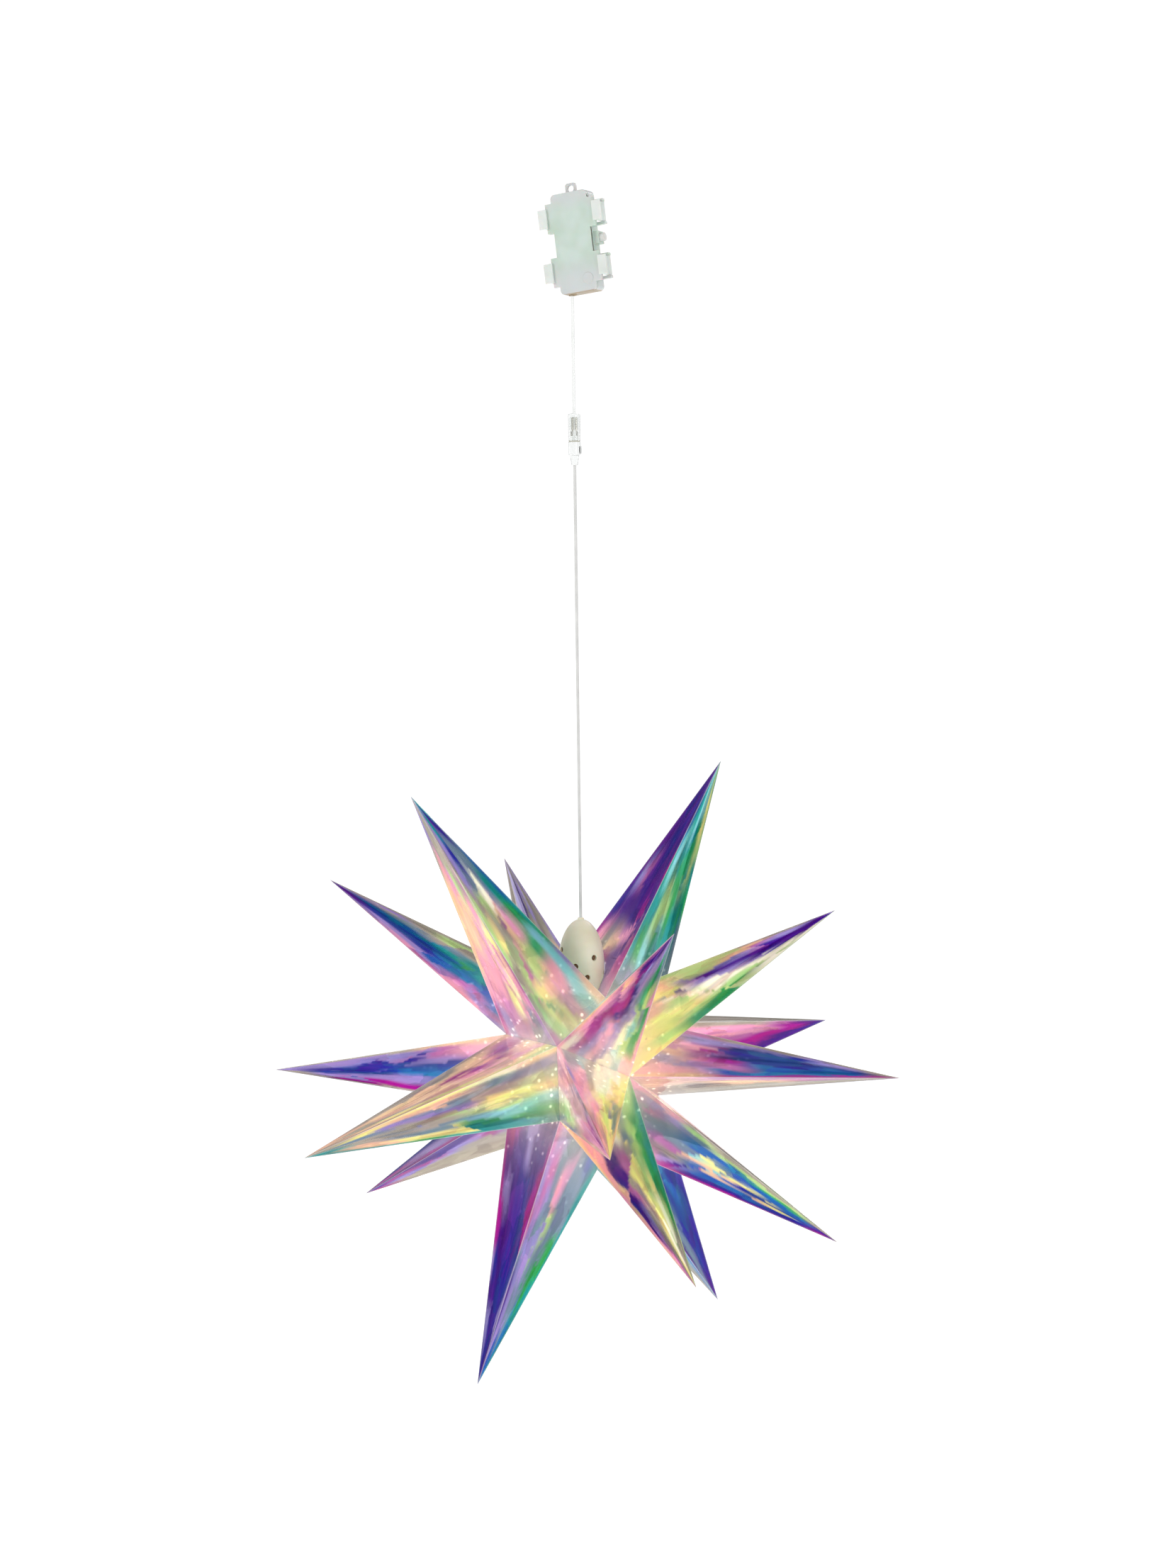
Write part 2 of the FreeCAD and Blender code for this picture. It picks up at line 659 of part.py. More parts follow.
def make_plug():
    """The clear plug: a nose in the socket, a body, a lug and a tapering tail; its prongs."""
    face = -size("socket_top") - size("socket_long") - size("seal_thick")
    low = -size("socket_top") - size("socket_long") - size("plug_long")
    nose_radius = size("socket_bore") - size("plug_clearance")
    nose_top = face + size("seal_thick") + size("plug_nose")
    nose = Part.makeCylinder(nose_radius, nose_top - face + 1, Vector(0, 0, face - 1))
    body_low = face - 11.0
    body = Part.makeCylinder(size("coupler_radius"), face - body_low, Vector(0, 0, body_low))
    tail = Part.makeCone(size("plug_tail_radius"), size("coupler_radius") - 1.2, body_low - low,
                         Vector(0, 0, low))
    lug = Part.makeBox(2.0, 3.0, 6.0, Vector(size("coupler_radius") - 1.0, -1.5, body_low + 1))
    shell = nose.fuse([body, tail, lug])
    prongs = []
    prong_low = nose_top - 4.0
    prong_top = -size("socket_top") - size("socket_long") + size("socket_depth") - 2.0
    for spot in contact_places():
        prongs.append(Part.makeCylinder(size("prong_radius"), prong_top - prong_low,
                                        spot + Vector(0, 0, prong_low)))
    for prong in prongs:
        shell = shell.cut(prong)
    keep(add_shape("plug", shell), "plug_shell")
    keep(add_shape("prongs", Part.makeCompound(prongs)), "plug_prongs")
    seal = Part.makeCylinder(size("coupler_radius") - 0.4, size("seal_thick"), Vector(0, 0, face))
    hole = Part.makeCylinder(nose_radius, size("seal_thick"), Vector(0, 0, face))
    keep(add_shape("seal", seal.cut(hole)), "plug_seal")


def egg_waist():
    """The egg's widest level on the Z axis."""
    return Vector(0, 0, -size("star_drop") + size("egg_top_rise") - size("egg_crown"))


def egg_solid(shrink):
    """Two half ellipsoids on one waist, made smaller all round by shrink."""
    radius = size("egg_radius") - shrink
    solid = None
    for up, tall in ((1, size("egg_crown") - shrink), (-1, size("egg_bowl") - shrink)):
        half = Part.makeSphere(radius, Vector(), Z_AXIS, 0, 90, 360)
        scale = FreeCAD.Matrix()
        scale.scale(1, 1, tall / radius)
        half = half.transformGeometry(scale)
        if up < 0:
            half.rotate(Vector(), X_AXIS, 180)
        solid = half if solid is None else solid.fuse(half)
    solid.translate(egg_waist())
    return solid


def egg_radius_at(rise):
    """The egg's radius at a height above the star's centre."""
    along = rise - (size("egg_top_rise") - size("egg_crown"))
    tall = size("egg_crown") if along > 0 else size("egg_bowl")
    return size("egg_radius") * math.sqrt(1 - (along / tall) ** 2)


def lamp_spots():
    """Each lamp's outward direction and its height above the star's centre."""
    for half_turn in (0, 180):
        for turn, rise in LAMP_PLACES:
            angle = math.radians(turn + half_turn)
            yield Vector(math.sin(angle), -math.cos(angle), 0), rise


def make_egg():
    """The egg's two side shells, the lamps in their holes, the post and the top grommet."""
    shell = egg_solid(0).cut(egg_solid(size("egg_wall")))
    lamps = []
    for out, rise in lamp_spots():
        level = Vector(0, 0, -size("star_drop") + rise)
        reach = egg_radius_at(rise)
        hole = Part.makeCylinder(size("lamp_radius") + size("lamp_clearance"), reach, level + out * 8,
                                 out)
        shell = shell.cut(hole)
        tip = reach - size("lamp_recess") - size("lamp_radius")
        dome = Part.makeSphere(size("lamp_radius"), level + out * tip)
        back = tip - size("lamp_long") + size("lamp_radius")
        barrel = Part.makeCylinder(size("lamp_radius"), tip - back, level + out * back, out)
        leg = Part.makeCylinder(size("lamp_leg"), back - size("post_radius"),
                                level + out * size("post_radius"), out)
        lamps.append(dome.fuse([barrel, leg]))
    top = Vector(0, 0, -size("star_drop") + size("egg_top_rise"))
    grommet_hole = Part.makeCylinder(size("grommet_radius"), 12, top - Vector(0, 0, 8))
    shell = shell.cut(grommet_hole)
    turn = math.radians(size("egg_seam_turn"))
    front = Vector(math.sin(turn), -math.cos(turn), 0)
    right = Vector(-front.y, front.x, 0)
    reach = 2 * size("egg_crown") + size("egg_bowl")
    for name, side in (("egg_shell_right", 1), ("egg_shell_left", -1)):
        half = Part.makeBox(reach, 2 * reach, 2 * reach, Vector(0, -reach, -reach))
        angle = math.degrees(math.atan2(side * right.y, side * right.x))
        half.rotate(Vector(), Z_AXIS, angle)
        half.translate(egg_waist())
        keep(add_shape(name + "_half", shell.common(half)), name)
    keep(add_shape("lamps", Part.makeCompound(lamps)), "lamp_bulbs")
    post_low = egg_waist() - Vector(0, 0, size("egg_bowl") - size("post_gap"))
    post_top = egg_waist() + Vector(0, 0, size("egg_crown") - size("post_gap"))
    post = Part.makeCylinder(size("post_radius"), post_top.z - post_low.z, post_low)
    keep(add_shape("post", post), "lamp_post")
    grommet = Part.makeCylinder(size("grommet_radius"),
                                size("grommet_rise") + size("grommet_deep"),
                                top - Vector(0, 0, size("grommet_deep")))
    rim = [e for e in grommet.Edges if e.BoundBox.ZMin > top.z + size("grommet_rise") - 0.01]
    keep(add_shape("grommet", grommet.makeChamfer(0.8, rim)), "egg_grommet")


def star_axes():
    """The star's middle, its level polar axis, up, and the third direction."""
    heading = math.radians(size("star_heading"))
    polar = Vector(math.sin(heading), -math.cos(heading), 0)
    return Vector(0, 0, -size("star_drop")), polar, Z_AXIS, polar.cross(Z_AXIS)


def around(azimuth):
    """The direction square to the polar axis at an azimuth; 30 degrees less the roll is up."""
    middle, polar, up, third = star_axes()
    angle = math.radians(azimuth - 30 + size("star_roll"))
    return up * math.cos(angle) + third * math.sin(angle)


def core_corner(azimuth, side):
    """A corner of the hollow core, on the front or back rim of its six-sided band."""
    middle, polar, up, third = star_axes()
    return middle + around(azimuth) * size("core_out") + polar * (side * size("core_half_band"))


def core_pole(side):
    middle, polar, up, third = star_axes()
    return middle + polar * (side * size("core_pole"))


def spike_base(ring, azimuth):
    """The core face that a spike stands on: a rectangle on the band, a triangle at a pole."""
    side = RING_SIDE[ring]
    if side == 0:
        return [core_corner(azimuth - 30, -1), core_corner(azimuth + 30, -1),
                core_corner(azimuth + 30, 1), core_corner(azimuth - 30, 1)]
    return [core_pole(side), core_corner(azimuth - 30, side), core_corner(azimuth + 30, side)]


def spike_tip(ring, number):
    """Where a spike ends: its even place, plus its own lean and reach."""
    middle, polar, up, third = star_axes()
    lean_round, lean_front, longer = SPIKE_LEANS[ring][number]
    latitude = math.radians(RING_SIDE[ring] * size("ring_latitude") + lean_front)
    reach = (size("equator_reach") if ring == "equator" else size("ring_reach")) + longer
    out = around(60 * number + lean_round) * math.cos(latitude) + polar * math.sin(latitude)
    return middle + out * reach


def pyramid(base, tip):
    """A closed pyramid solid on a flat base."""
    faces = [Part.Face(Part.makePolygon(base + base[:1]))]
    for start, end in zip(base, base[1:] + base[:1]):
        faces.append(Part.Face(Part.makePolygon([start, end, tip, start])))
    return Part.makeSolid(Part.makeShell(faces))


def shrunk(points, about, keep_share):
    return [about + (point - about) * keep_share for point in points]


def make_spikes():
    """Eighteen hollow film spikes, open at the core, cut away where the egg sits in a seam."""
    waist = egg_waist()
    seat_radius = size("egg_radius") + size("film_fit")
    seat = Part.makeCylinder(seat_radius, size("egg_crown") + size("egg_bowl"),
                             waist - Vector(0, 0, size("egg_bowl")))
    for ring in ("equator", "front", "back"):
        for number in range(6):
            base = spike_base(ring, 60 * number)
            tip = spike_tip(ring, number)
            middle = sum(base, Vector()) * (1.0 / len(base))
            span = min(middle.distanceToPlane(start, (end - start).cross(tip - start).normalize())
                       ** 2 for start, end in zip(base, base[1:] + base[:1])) ** 0.5
            keep_share = 1 - size("film_wall") / span
            outer = pyramid(base, tip)
            inner_points = shrunk(base + [tip], middle, keep_share)
            film = outer.cut(pyramid(inner_points[:-1], inner_points[-1]))
            if film.common(seat).Volume > 0.01:
                film = film.cut(seat)
            keep(add_shape("spike_%s_%d" % (ring, number + 1), film),
                 "film_spike_%s_%d" % (ring, number + 1))


def check_and_write():
    """Stops on a failed object or a bad shape, then writes every sub-part."""
    doc.recompute()
    for obj in doc.Objects:
        if "Invalid" in obj.State or "Error" in obj.State:
            raise RuntimeError("failed object: " + obj.Name)
    names = [obj.Label for obj in subparts]
    if len(set(names)) != len(names):
        raise RuntimeError("two sub-parts share a name")
    for obj in subparts:
        shape = obj.Shape
        if shape.isNull() or not shape.isValid() or shape.Volume <= 0:
            raise RuntimeError("bad shape: " + obj.Label)
    for obj in subparts:
        obj.Shape.exportStep("parts/%s.step" % obj.Label)
        print("%-26s solids %2d  volume %9.1f mm3" % (obj.Label, len(obj.Shape.Solids),
                                                     obj.Shape.Volume))
    print("sub-parts:", len(subparts))


make_tray()
make_cover()
make_gasket()
for latch_name, latch_side, latch_middle in list(latch_spots()):
    make_latch(latch_name, latch_side, latch_middle)
make_latch_pins()
make_button()
make_cells()
make_contacts()
make_board()
make_leads()
make_bush()
make_ball()
make_cords()
make_socket()
make_plug()
make_egg()
make_spikes()
check_and_write()
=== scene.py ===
# %% [markdown]
# # A hanging star lantern of iridescent film
# From top to bottom: a latched battery box with a hanging loop, a thin cord with a clear
# plug and socket in it, a white egg of small lamps, and a star of eighteen hollow film
# spikes. The moving frame comes from the CAD model, and this lesson makes what the eye
# sees on it: the film, the clear and frosted plastics, the cords and the light.

# %% Load the frame
import json
import math

import bmesh
import bpy
import numpy as np
from mathutils import Matrix, Vector


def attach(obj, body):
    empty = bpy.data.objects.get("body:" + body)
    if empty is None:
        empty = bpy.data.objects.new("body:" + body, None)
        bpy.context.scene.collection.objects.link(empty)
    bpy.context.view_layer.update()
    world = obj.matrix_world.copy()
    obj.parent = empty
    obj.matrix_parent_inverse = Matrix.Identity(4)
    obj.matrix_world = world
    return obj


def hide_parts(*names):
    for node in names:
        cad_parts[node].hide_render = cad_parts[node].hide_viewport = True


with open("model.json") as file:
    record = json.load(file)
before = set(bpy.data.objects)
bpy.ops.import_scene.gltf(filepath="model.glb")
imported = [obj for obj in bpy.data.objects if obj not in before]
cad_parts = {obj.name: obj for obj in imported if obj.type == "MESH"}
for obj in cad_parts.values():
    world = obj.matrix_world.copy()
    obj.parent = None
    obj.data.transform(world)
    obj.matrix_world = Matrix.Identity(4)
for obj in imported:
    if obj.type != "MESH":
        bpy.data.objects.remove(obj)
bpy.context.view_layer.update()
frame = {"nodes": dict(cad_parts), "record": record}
MM = 0.001

# %% [markdown]
# ## Small helpers
# A colour is written the way a paint chart gives it, as an sRGB hex value, and turned to
# the linear numbers that the renderer works in. A material is a small graph of nodes, so
# one helper adds a node, gives it its settings and plugs in its links.

# %% Colours and nodes
def srgb(text):
    """Linear red, green, blue and 1 from a hex value: each channel c becomes c / 12.92 when
    it is small and ((c + 0.055) / 1.055) to the power 2.4 otherwise."""
    channels = [int(text[k:k + 2], 16) / 255 for k in (1, 3, 5)]
    linear = [c / 12.92 if c <= 0.04045 else ((c + 0.055) / 1.055) ** 2.4 for c in channels]
    return (*linear, 1.0)


def add(tree, kind, settings=None, links=None, **options):
    """Adds a node of a kind; options are its own properties, settings are its sockets'
    fixed values and links are the output sockets that feed its inputs."""
    node = tree.nodes.new(kind)
    for name, value in options.items():
        setattr(node, name, value)
    for name, value in (settings or {}).items():
        node.inputs[name].default_value = value
    for name, source in (links or {}).items():
        tree.links.new(source, node.inputs[name])
    return node


def new_material(name):
    """An empty material: its node tree, and the output that a surface is plugged into."""
    material = bpy.data.materials.new(name)
    material.use_nodes = True
    material.node_tree.nodes.clear()
    output = material.node_tree.nodes.new("ShaderNodeOutputMaterial")
    return material, material.node_tree, output


print("mid grey as linear:", round(srgb("#808080")[0], 3))

# %% [markdown]
# ## The camera
# The lantern is looked at from in front and a little to the right of the battery box, from
# a bit above the star. The camera is placed by how far it stands from the hanging cord and
# how high it is over the middle of the star, which lies on the cord's own line.

# %% Camera
STAR_MIDDLE = Vector((0.0, 0.0, -761.4 * MM))
CAMERA_TURN = math.radians(25.0)
CAMERA_AWAY = 2135.0 * MM
CAMERA_OVER_STAR = 477.5 * MM
CAMERA_PITCH = math.radians(6.07)
CAMERA_YAW = math.radians(0.20)
CAMERA_ROLL = math.radians(-0.74)
LENS_MM = 56.3


def make_camera():
    """The camera looks along the level line to the cord, dipped by the pitch, turned by the
    yaw and rolled; its axes are that line, the level line square to it and their cross."""
    toward = Vector((math.sin(CAMERA_TURN), -math.cos(CAMERA_TURN), 0.0))
    side = Vector((math.cos(CAMERA_TURN), math.sin(CAMERA_TURN), 0.0))
    place = STAR_MIDDLE + toward * CAMERA_AWAY + Vector((0, 0, CAMERA_OVER_STAR))
    ahead = -toward * math.cos(CAMERA_PITCH) - Vector((0, 0, 1)) * math.sin(CAMERA_PITCH)
    ahead = ahead * math.cos(CAMERA_YAW) + side * math.sin(CAMERA_YAW)
    right = ahead.cross(Vector((0, 0, 1))).normalized()
    above = right.cross(ahead)
    tilted_right = right * math.cos(CAMERA_ROLL) + above * math.sin(CAMERA_ROLL)
    tilted_above = above * math.cos(CAMERA_ROLL) - right * math.sin(CAMERA_ROLL)
    data = bpy.data.cameras.new("camera")
    data.lens = LENS_MM
    data.sensor_width = 36.0
    data.clip_end = 50.0
    camera = bpy.data.objects.new("camera", data)
    axes = Matrix((tilted_right, tilted_above, -ahead)).transposed().to_4x4()
    camera.matrix_world = Matrix.Translation(place) @ axes
    bpy.context.collection.objects.link(camera)
    bpy.context.scene.camera = camera
    return camera


camera = make_camera()
print("camera at", [round(c, 3) for c in camera.matrix_world.translation])

# %% [markdown]
# ## The cords
# The lantern hangs on a thin clear-sheathed cord, pulled straight by the star's weight. It
# comes out of the box's floor, ends in a clear socket, and goes on from the plug below to
# the top of the egg. A curve with a round bevel is the natural way to make it. The points
# are those of the CAD route; the extra ones on each straight run lie near its ends.

# %% Cords
CORD_RADIUS = 1.3 * MM
UPPER_ROUTE = [(0, 0, -88.3), (0, 0, -101.5), (0, 0, -176.8), (0, 0, -190.0)]
LOWER_ROUTE = [(0, 0, -234.0), (0, 0, -247.2), (0, 0, -615.6), (0, 0, -628.8)]


def cord_curve(name, route):
    """An open NURBS curve of order three through a route in millimetres, bevelled round."""
    curve = bpy.data.curves.new(name, "CURVE")
    curve.dimensions = "3D"
    curve.bevel_depth = CORD_RADIUS
    curve.bevel_resolution = 6
    curve.use_fill_caps = True
    curve.resolution_u = 24
    spline = curve.splines.new("NURBS")
    spline.points.add(len(route) - 1)
    for point, place in zip(spline.points, route):
        point.co = (*(c * MM for c in place), 1.0)
    spline.order_u = 3
    spline.use_endpoint_u = True
    spline.use_smooth = True
    piece = bpy.data.objects.new(name, curve)
    bpy.context.collection.objects.link(piece)
    return piece


upper_cord = cord_curve("cord_above_socket", UPPER_ROUTE)
lower_cord = cord_curve("cord_below_plug", LOWER_ROUTE)
print("cords:", upper_cord.name, lower_cord.name)

# %% [markdown]
# ## Refining moulded parts
# The box, latches, plug and egg already have their true shapes in the CAD model, but a CAD
# edge is infinitely sharp and a moulded one never is. A copy of the node's mesh is merged
# into one skin, its flat triangles are joined, and a small Bevel catches the light.

# %% Refined copies of CAD parts
BODY_OF = {node: body for body, nodes in frame["record"]["behaviour"]["bodies"].items()
           for node in nodes}


def merge_skin(mesh):
    """Joins loose triangles into one skin and flat neighbours into one face."""
    skin = bmesh.new()
    skin.from_mesh(mesh)
    bmesh.ops.remove_doubles(skin, verts=skin.verts, dist=0.002 * MM)
    bmesh.ops.dissolve_limit(skin, angle_limit=math.radians(0.5), verts=skin.verts,
                             edges=skin.edges)
    skin.to_mesh(mesh)
    skin.free()
    mesh.shade_smooth()
    mesh.set_sharp_from_angle(angle=math.radians(32.0))


def refine(node, edge_mm, material, segments=2, corner=35.0):
    """A merged copy of a CAD node with its corners rounded by edge_mm where two faces meet
    at more than corner degrees; it replaces the node and rides on the node's body."""
    source = frame["nodes"][node]
    mesh = source.data.copy()
    mesh.transform(source.matrix_world)
    piece = bpy.data.objects.new(node + "_moulded", mesh)
    bpy.context.collection.objects.link(piece)
    merge_skin(mesh)
    mesh.materials.clear()
    mesh.materials.append(material)
    if edge_mm > 0:
        bevel = piece.modifiers.new("rounding", "BEVEL")
        bevel.width = edge_mm * MM
        bevel.segments = segments
        bevel.limit_method = "ANGLE"
        bevel.angle_limit = math.radians(corner)
        bevel.use_clamp_overlap = True
        bevel.harden_normals = True
    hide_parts(node)
    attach(piece, BODY_OF[node])
    return piece


# %% [markdown]
# ## The film's colours
# Iridescent film is clear plastic with dozens of layers thinner than light's own waves. It
# has no dye: each angle sends back its own colour, so a gently bent face shows long bands
# of several. Tracing every layer would be slow and hard to steer, so the bands are laid
# out as a painter would: a letter for each colour, in the order in which they
# cross a face, row after row from its base to its tip.

# %% Film palette
FILM_COLOURS = {
    "v": ("#4a1484", 0.97),   # deep violet
    "i": ("#31248c", 0.97),   # indigo
    "n": ("#1f3c8e", 0.95),   # navy
    "b": ("#2366ab", 0.93),   # blue
    "t": ("#009090", 0.95),   # teal
    "c": ("#86ccd2", 0.80),   # pale aqua
    "g": ("#2fa062", 0.90),   # green
    "l": ("#b9d890", 0.82),   # lime
    "y": ("#f3ea98", 0.84),   # yellow
    # w is a painted highlight: a white glint laid into the bands, not a colour of the film.
    "w": ("#fff8e0", 0.92),   # white glint
    "a": ("#f2c8a6", 0.82),   # peach
    "p": ("#f0a6c0", 0.82),   # pink
    "r": ("#b86aa6", 0.90),   # rose
    "m": ("#a0128a", 0.97),   # magenta
    "q": ("#9a88c4", 0.88),   # lilac
    "s": ("#71879c", 0.88),   # slate
    "e": ("#a99f92", 0.84),   # clear film, grey from its own shadow
}
LETTERS = list(FILM_COLOURS)
LETTER_RGB = np.array([srgb(FILM_COLOURS[k][0])[:3] for k in LETTERS])
LETTER_COVER = np.array([FILM_COLOURS[k][1] for k in LETTERS])

# Faces are numbered round each spike's base from its first corner. Each face gives its rows
# of bands from the base to the tip, and each row runs from the face's first corner's edge
# to the next one's. Faces turned away from the front have shorter recipes.
EQUATOR_BANDS = [
    ["eqe esq see", "mmmvvr mpeaprm ivvvvvi vqrvvvm vvvivv viviv vviq", "sqtts tgctts ttlgtg tctglt "
     "btcyl tclt", "gle tse te"],
    ["aqe sqe se", "mqrrsq pprypr apppar aaapaye aaaapl eppler qeee qes",
     "rlypca elyapcq lerlgcg lyeapegt lelwstb eqssb eqiis qtt", "tge gbs be"],
    ["vqe iqe ie", "bie ise ne", "tgcylsy tgclyesw tyseqsay gyseqay taesya te",
     "lypaamra yaapmaae ayaaaaee ayeaaee eaeae ea"],
    ["mqe vie ie", "gse tbe be", "tbssqr tsspsrq tsslsqr tgsqqs tgssqv tbsqi tbi",
     "vvvqvmm mvvqvvm mviivqm miiivvm iiviiq qiiivv iiq vi"],
    ["eqs bse ie", "tgl tse te", "nbbsg inbngs iinsv ivs", "sgt bte be"],
    ["eap rpe me", "eeee eeee eee", "aapra eprrmr eprmmv rmmvv vviv", "mre vqe ie"],
]
FRONT_BANDS = [
    ["yll gls te", "lap lve ve", "yyaaayyy laysaayyly llqvwlylgg laqvqwwlgg earviwwlgl eqvvww vviw"],
    ["plqy wqpe qe", "tc tg te", "pwmqpqwwcpp apmmqpqwclgp aprmmvqqlsgp prvmmvqsglp rrvvqqgst "
     "rvvqst"],
    ["yywwecssp yywweppq esyyaappp asyyappp ayyappm ayap", "pmpwls mmppwls mrppppa ppmppa pppa",
     "ysl gse ae"],
    ["glsyryepa tglsywevpa ttgllyervvpa tggylyerviap gglwyeeqvpa lewyerpa leyerp",
     "pav pae ae", "tgs tbe be"],
    ["prsqrpe pqssreqr elsbbscabbim eelbbsyabbim eelgbbynnim elgbbniv evm", "mve mie ie",
     "pae ese le"],
    ["paaee mraee mree eee", "bne ine ne", "rpraqppa rqmrpqpa eqnnmrbm eqnnbbbm qnnbbbm eqnbbm em"],
]
BACK_BANDS = [
    ["qee sqe qe", "aeeaer aaeerqe qeeqeev qeeqeev qeqv qe", "rqeee vqeeee vqeee vqee qe"],
    ["cse bse be", "apegttbbrq eletgtbbrqp elestbbbqrp eesbbnnqp eqbnnqp eqvvq", "rqe vqe ve"],
    ["bqe ise ie", "aprnbbre arqnbbqme eqinnbqme eqiinqme eqqinqe eqqee", "qie vie ie"],
    ["vrm iqm imi", "qvqeee vvmeeee vvqeeee vvmqeee imqee im", "ese eqe ee"],
    ["tge tbs be", "lyap lgts gte", "mvq viq ie"],
    ["pae rqe ve", "mvib mibc vbe", "tcl btg te"],
]
print("film colours:", len(LETTERS))

# %% [markdown]
# ## The shape of a spike
# Each spike is one sheet of film folded into a long three- or four-sided cone, open at the
# core. Its skin is a grid of two numbers: how far along from base to tip, and how far
# round. The core is a six-sided band with a point at each end, on a level polar axis, and
# a spike stands on each of its 18 faces. The egg sits in a round opening at the top.

# %% Core and tips
STAR_HEADING = math.radians(65.0)
STAR_ROLL = 2.0
CORE_OUT = 66.0 * MM
CORE_HALF_BAND = 35.0 * MM
CORE_POLE = 63.0 * MM
SEAT_RADIUS = 20.6 * MM
POLAR = np.array([math.sin(STAR_HEADING), -math.cos(STAR_HEADING), 0.0])
UP = np.array([0.0, 0.0, 1.0])
THIRD = np.cross(POLAR, UP)
MIDDLE = np.array(STAR_MIDDLE)
ROWS = 104
COLUMNS = 32


def core_corner(azimuth, side):
    """A corner of the six-sided core: out from the polar axis at an azimuth, along it by side."""
    angle = math.radians(azimuth - 30 + STAR_ROLL)
    out = UP * math.cos(angle) + THIRD * math.sin(angle)
    return MIDDLE + out * CORE_OUT + POLAR * side * CORE_HALF_BAND


def spike_base(ring, azimuth):
    """The corners of the core face under a spike, in the CAD model's order."""
    if ring == "equator":
        return np.array([core_corner(azimuth - 30, -1), core_corner(azimuth + 30, -1),
                         core_corner(azimuth + 30, 1), core_corner(azimuth - 30, 1)])
    side = 1 if ring == "front" else -1
    return np.array([MIDDLE + POLAR * side * CORE_POLE, core_corner(azimuth - 30, side),
                     core_corner(azimuth + 30, side)])


def spike_tip(node):
    """The farthest point of the CAD spike from the star's middle."""
    source = frame["nodes"][node]
    flat = np.empty(len(source.data.vertices) * 3)
    source.data.vertices.foreach_get("co", flat)
    points = flat.reshape(-1, 3) @ np.array(source.matrix_world.to_3x3()).T
    return points[np.argmax(np.linalg.norm(points - MIDDLE, axis=1))]


def across_steps():
    """Places across a face from 0 to 1, closer together near both folds: t - 0.13 sin(2 pi t)."""
    even = np.arange(COLUMNS) / COLUMNS
    return even - 0.13 * np.sin(2 * np.pi * even)


def opening_start(foot, tip):
    """How far up each line from foot to tip the egg's round opening ends: the root of
    |foot + s (tip - foot)| = SEAT_RADIUS in plan, or 0 where the foot is outside it."""
    run = tip[:2] - foot[:, :2]
    a = (run ** 2).sum(1)
    b = (foot[:, :2] * run).sum(1)
    c = (foot[:, :2] ** 2).sum(1) - SEAT_RADIUS ** 2
    root = (-b + np.sqrt(np.maximum(b ** 2 - a * c, 0))) / a
    return np.where((c < 0) & (foot[:, 2] > MIDDLE[2]), root, 0.0)


print("core half-width, mm:", round(CORE_OUT / MM), "grid:", ROWS, "by", COLUMNS, "a face")

# %% [markdown]
# ## Waves and creases
# Nothing on folded film is regular. The faces ripple and their colours wander in soft waves,
# and where the film was once creased the colours break off and go on a little to one side.
# Each spike draws its waves and creases from a seed of its own, so that the lantern comes
# out the same each time.

# %% Waves and creases
SPIKE_SLENDER = 3.5     # a spike's length over its face's width at the base


def smooth_waves(rng, u, v, count, u_top, v_top):
    """A soft random field between about -1 and 1: a few sine waves of u and v added up."""
    field = np.zeros(np.broadcast(u, v).shape)
    for _ in range(count):
        turns_u, turns_v = rng.uniform(0.3, u_top), rng.uniform(0.3, v_top)
        start = rng.uniform(0, 2 * np.pi)
        field += np.sin(2 * np.pi * (turns_u * u + turns_v * v) + start)
    return field / count ** 0.5


def crease_steps(rng, u, v, count):
    """Hard creases: each is a slanting line on the face, and the bands jump sideways on
    crossing it, less and less with distance: the sum of jump sign(d) exp(-(d / w)^2 -
    (t / l)^2), with d the distance from the line and t the distance along it."""
    steps = np.zeros(np.broadcast(u, v).shape)
    for _ in range(count):
        slant = rng.uniform(-0.7, 0.7)
        dv, du = v - rng.uniform(0.1, 0.9), SPIKE_SLENDER * (u - rng.uniform(0.1, 0.85))
        d = dv * np.cos(slant) + du * np.sin(slant)
        t = du * np.cos(slant) - dv * np.sin(slant)
        jump = rng.choice([-1, 1]) * rng.uniform(0.02, 0.08)
        fade = np.exp(-(d / rng.uniform(0.15, 0.4)) ** 2 - (t / rng.uniform(0.4, 1.1)) ** 2)
        steps += jump * np.sign(d) * fade
    return steps


sample = smooth_waves(np.random.default_rng(0), np.linspace(0, 1, 9), 0.5, 4, 2.0, 2.0)
print("a wave along a face:", sample.round(2))

# %% [markdown]
# ## From letters to colours
# A row of letters becomes the colours across a face at one height, and the rows are blended
# into one another on the way up. Edges between bands are narrow but soft, as they are where
# one order of interference gives way to the next.

# %% Bands on a face
def soft_step(x):
    """The smooth step 3 x^2 - 2 x^3 of x held between 0 and 1."""
    x = np.clip(x, 0, 1)
    return x * x * (3 - 2 * x)


def band_row(text, v):
    """Colour and cover across one row of letters, spread evenly over v: between letters k
    and k + 1 the blend is a steepened smooth step, so that a band has a soft, narrow edge."""
    chosen = [LETTERS.index(letter) for letter in text]
    table = np.column_stack([LETTER_RGB[chosen], LETTER_COVER[chosen]])
    place = np.clip(v, 0, 1) * (len(text) - 1)
    low = np.minimum(place.astype(int), len(text) - 2)
    share = soft_step((place - low - 0.5) * 1.9 + 0.5)[..., None]
    return table[low] * (1 - share) + table[low + 1] * share


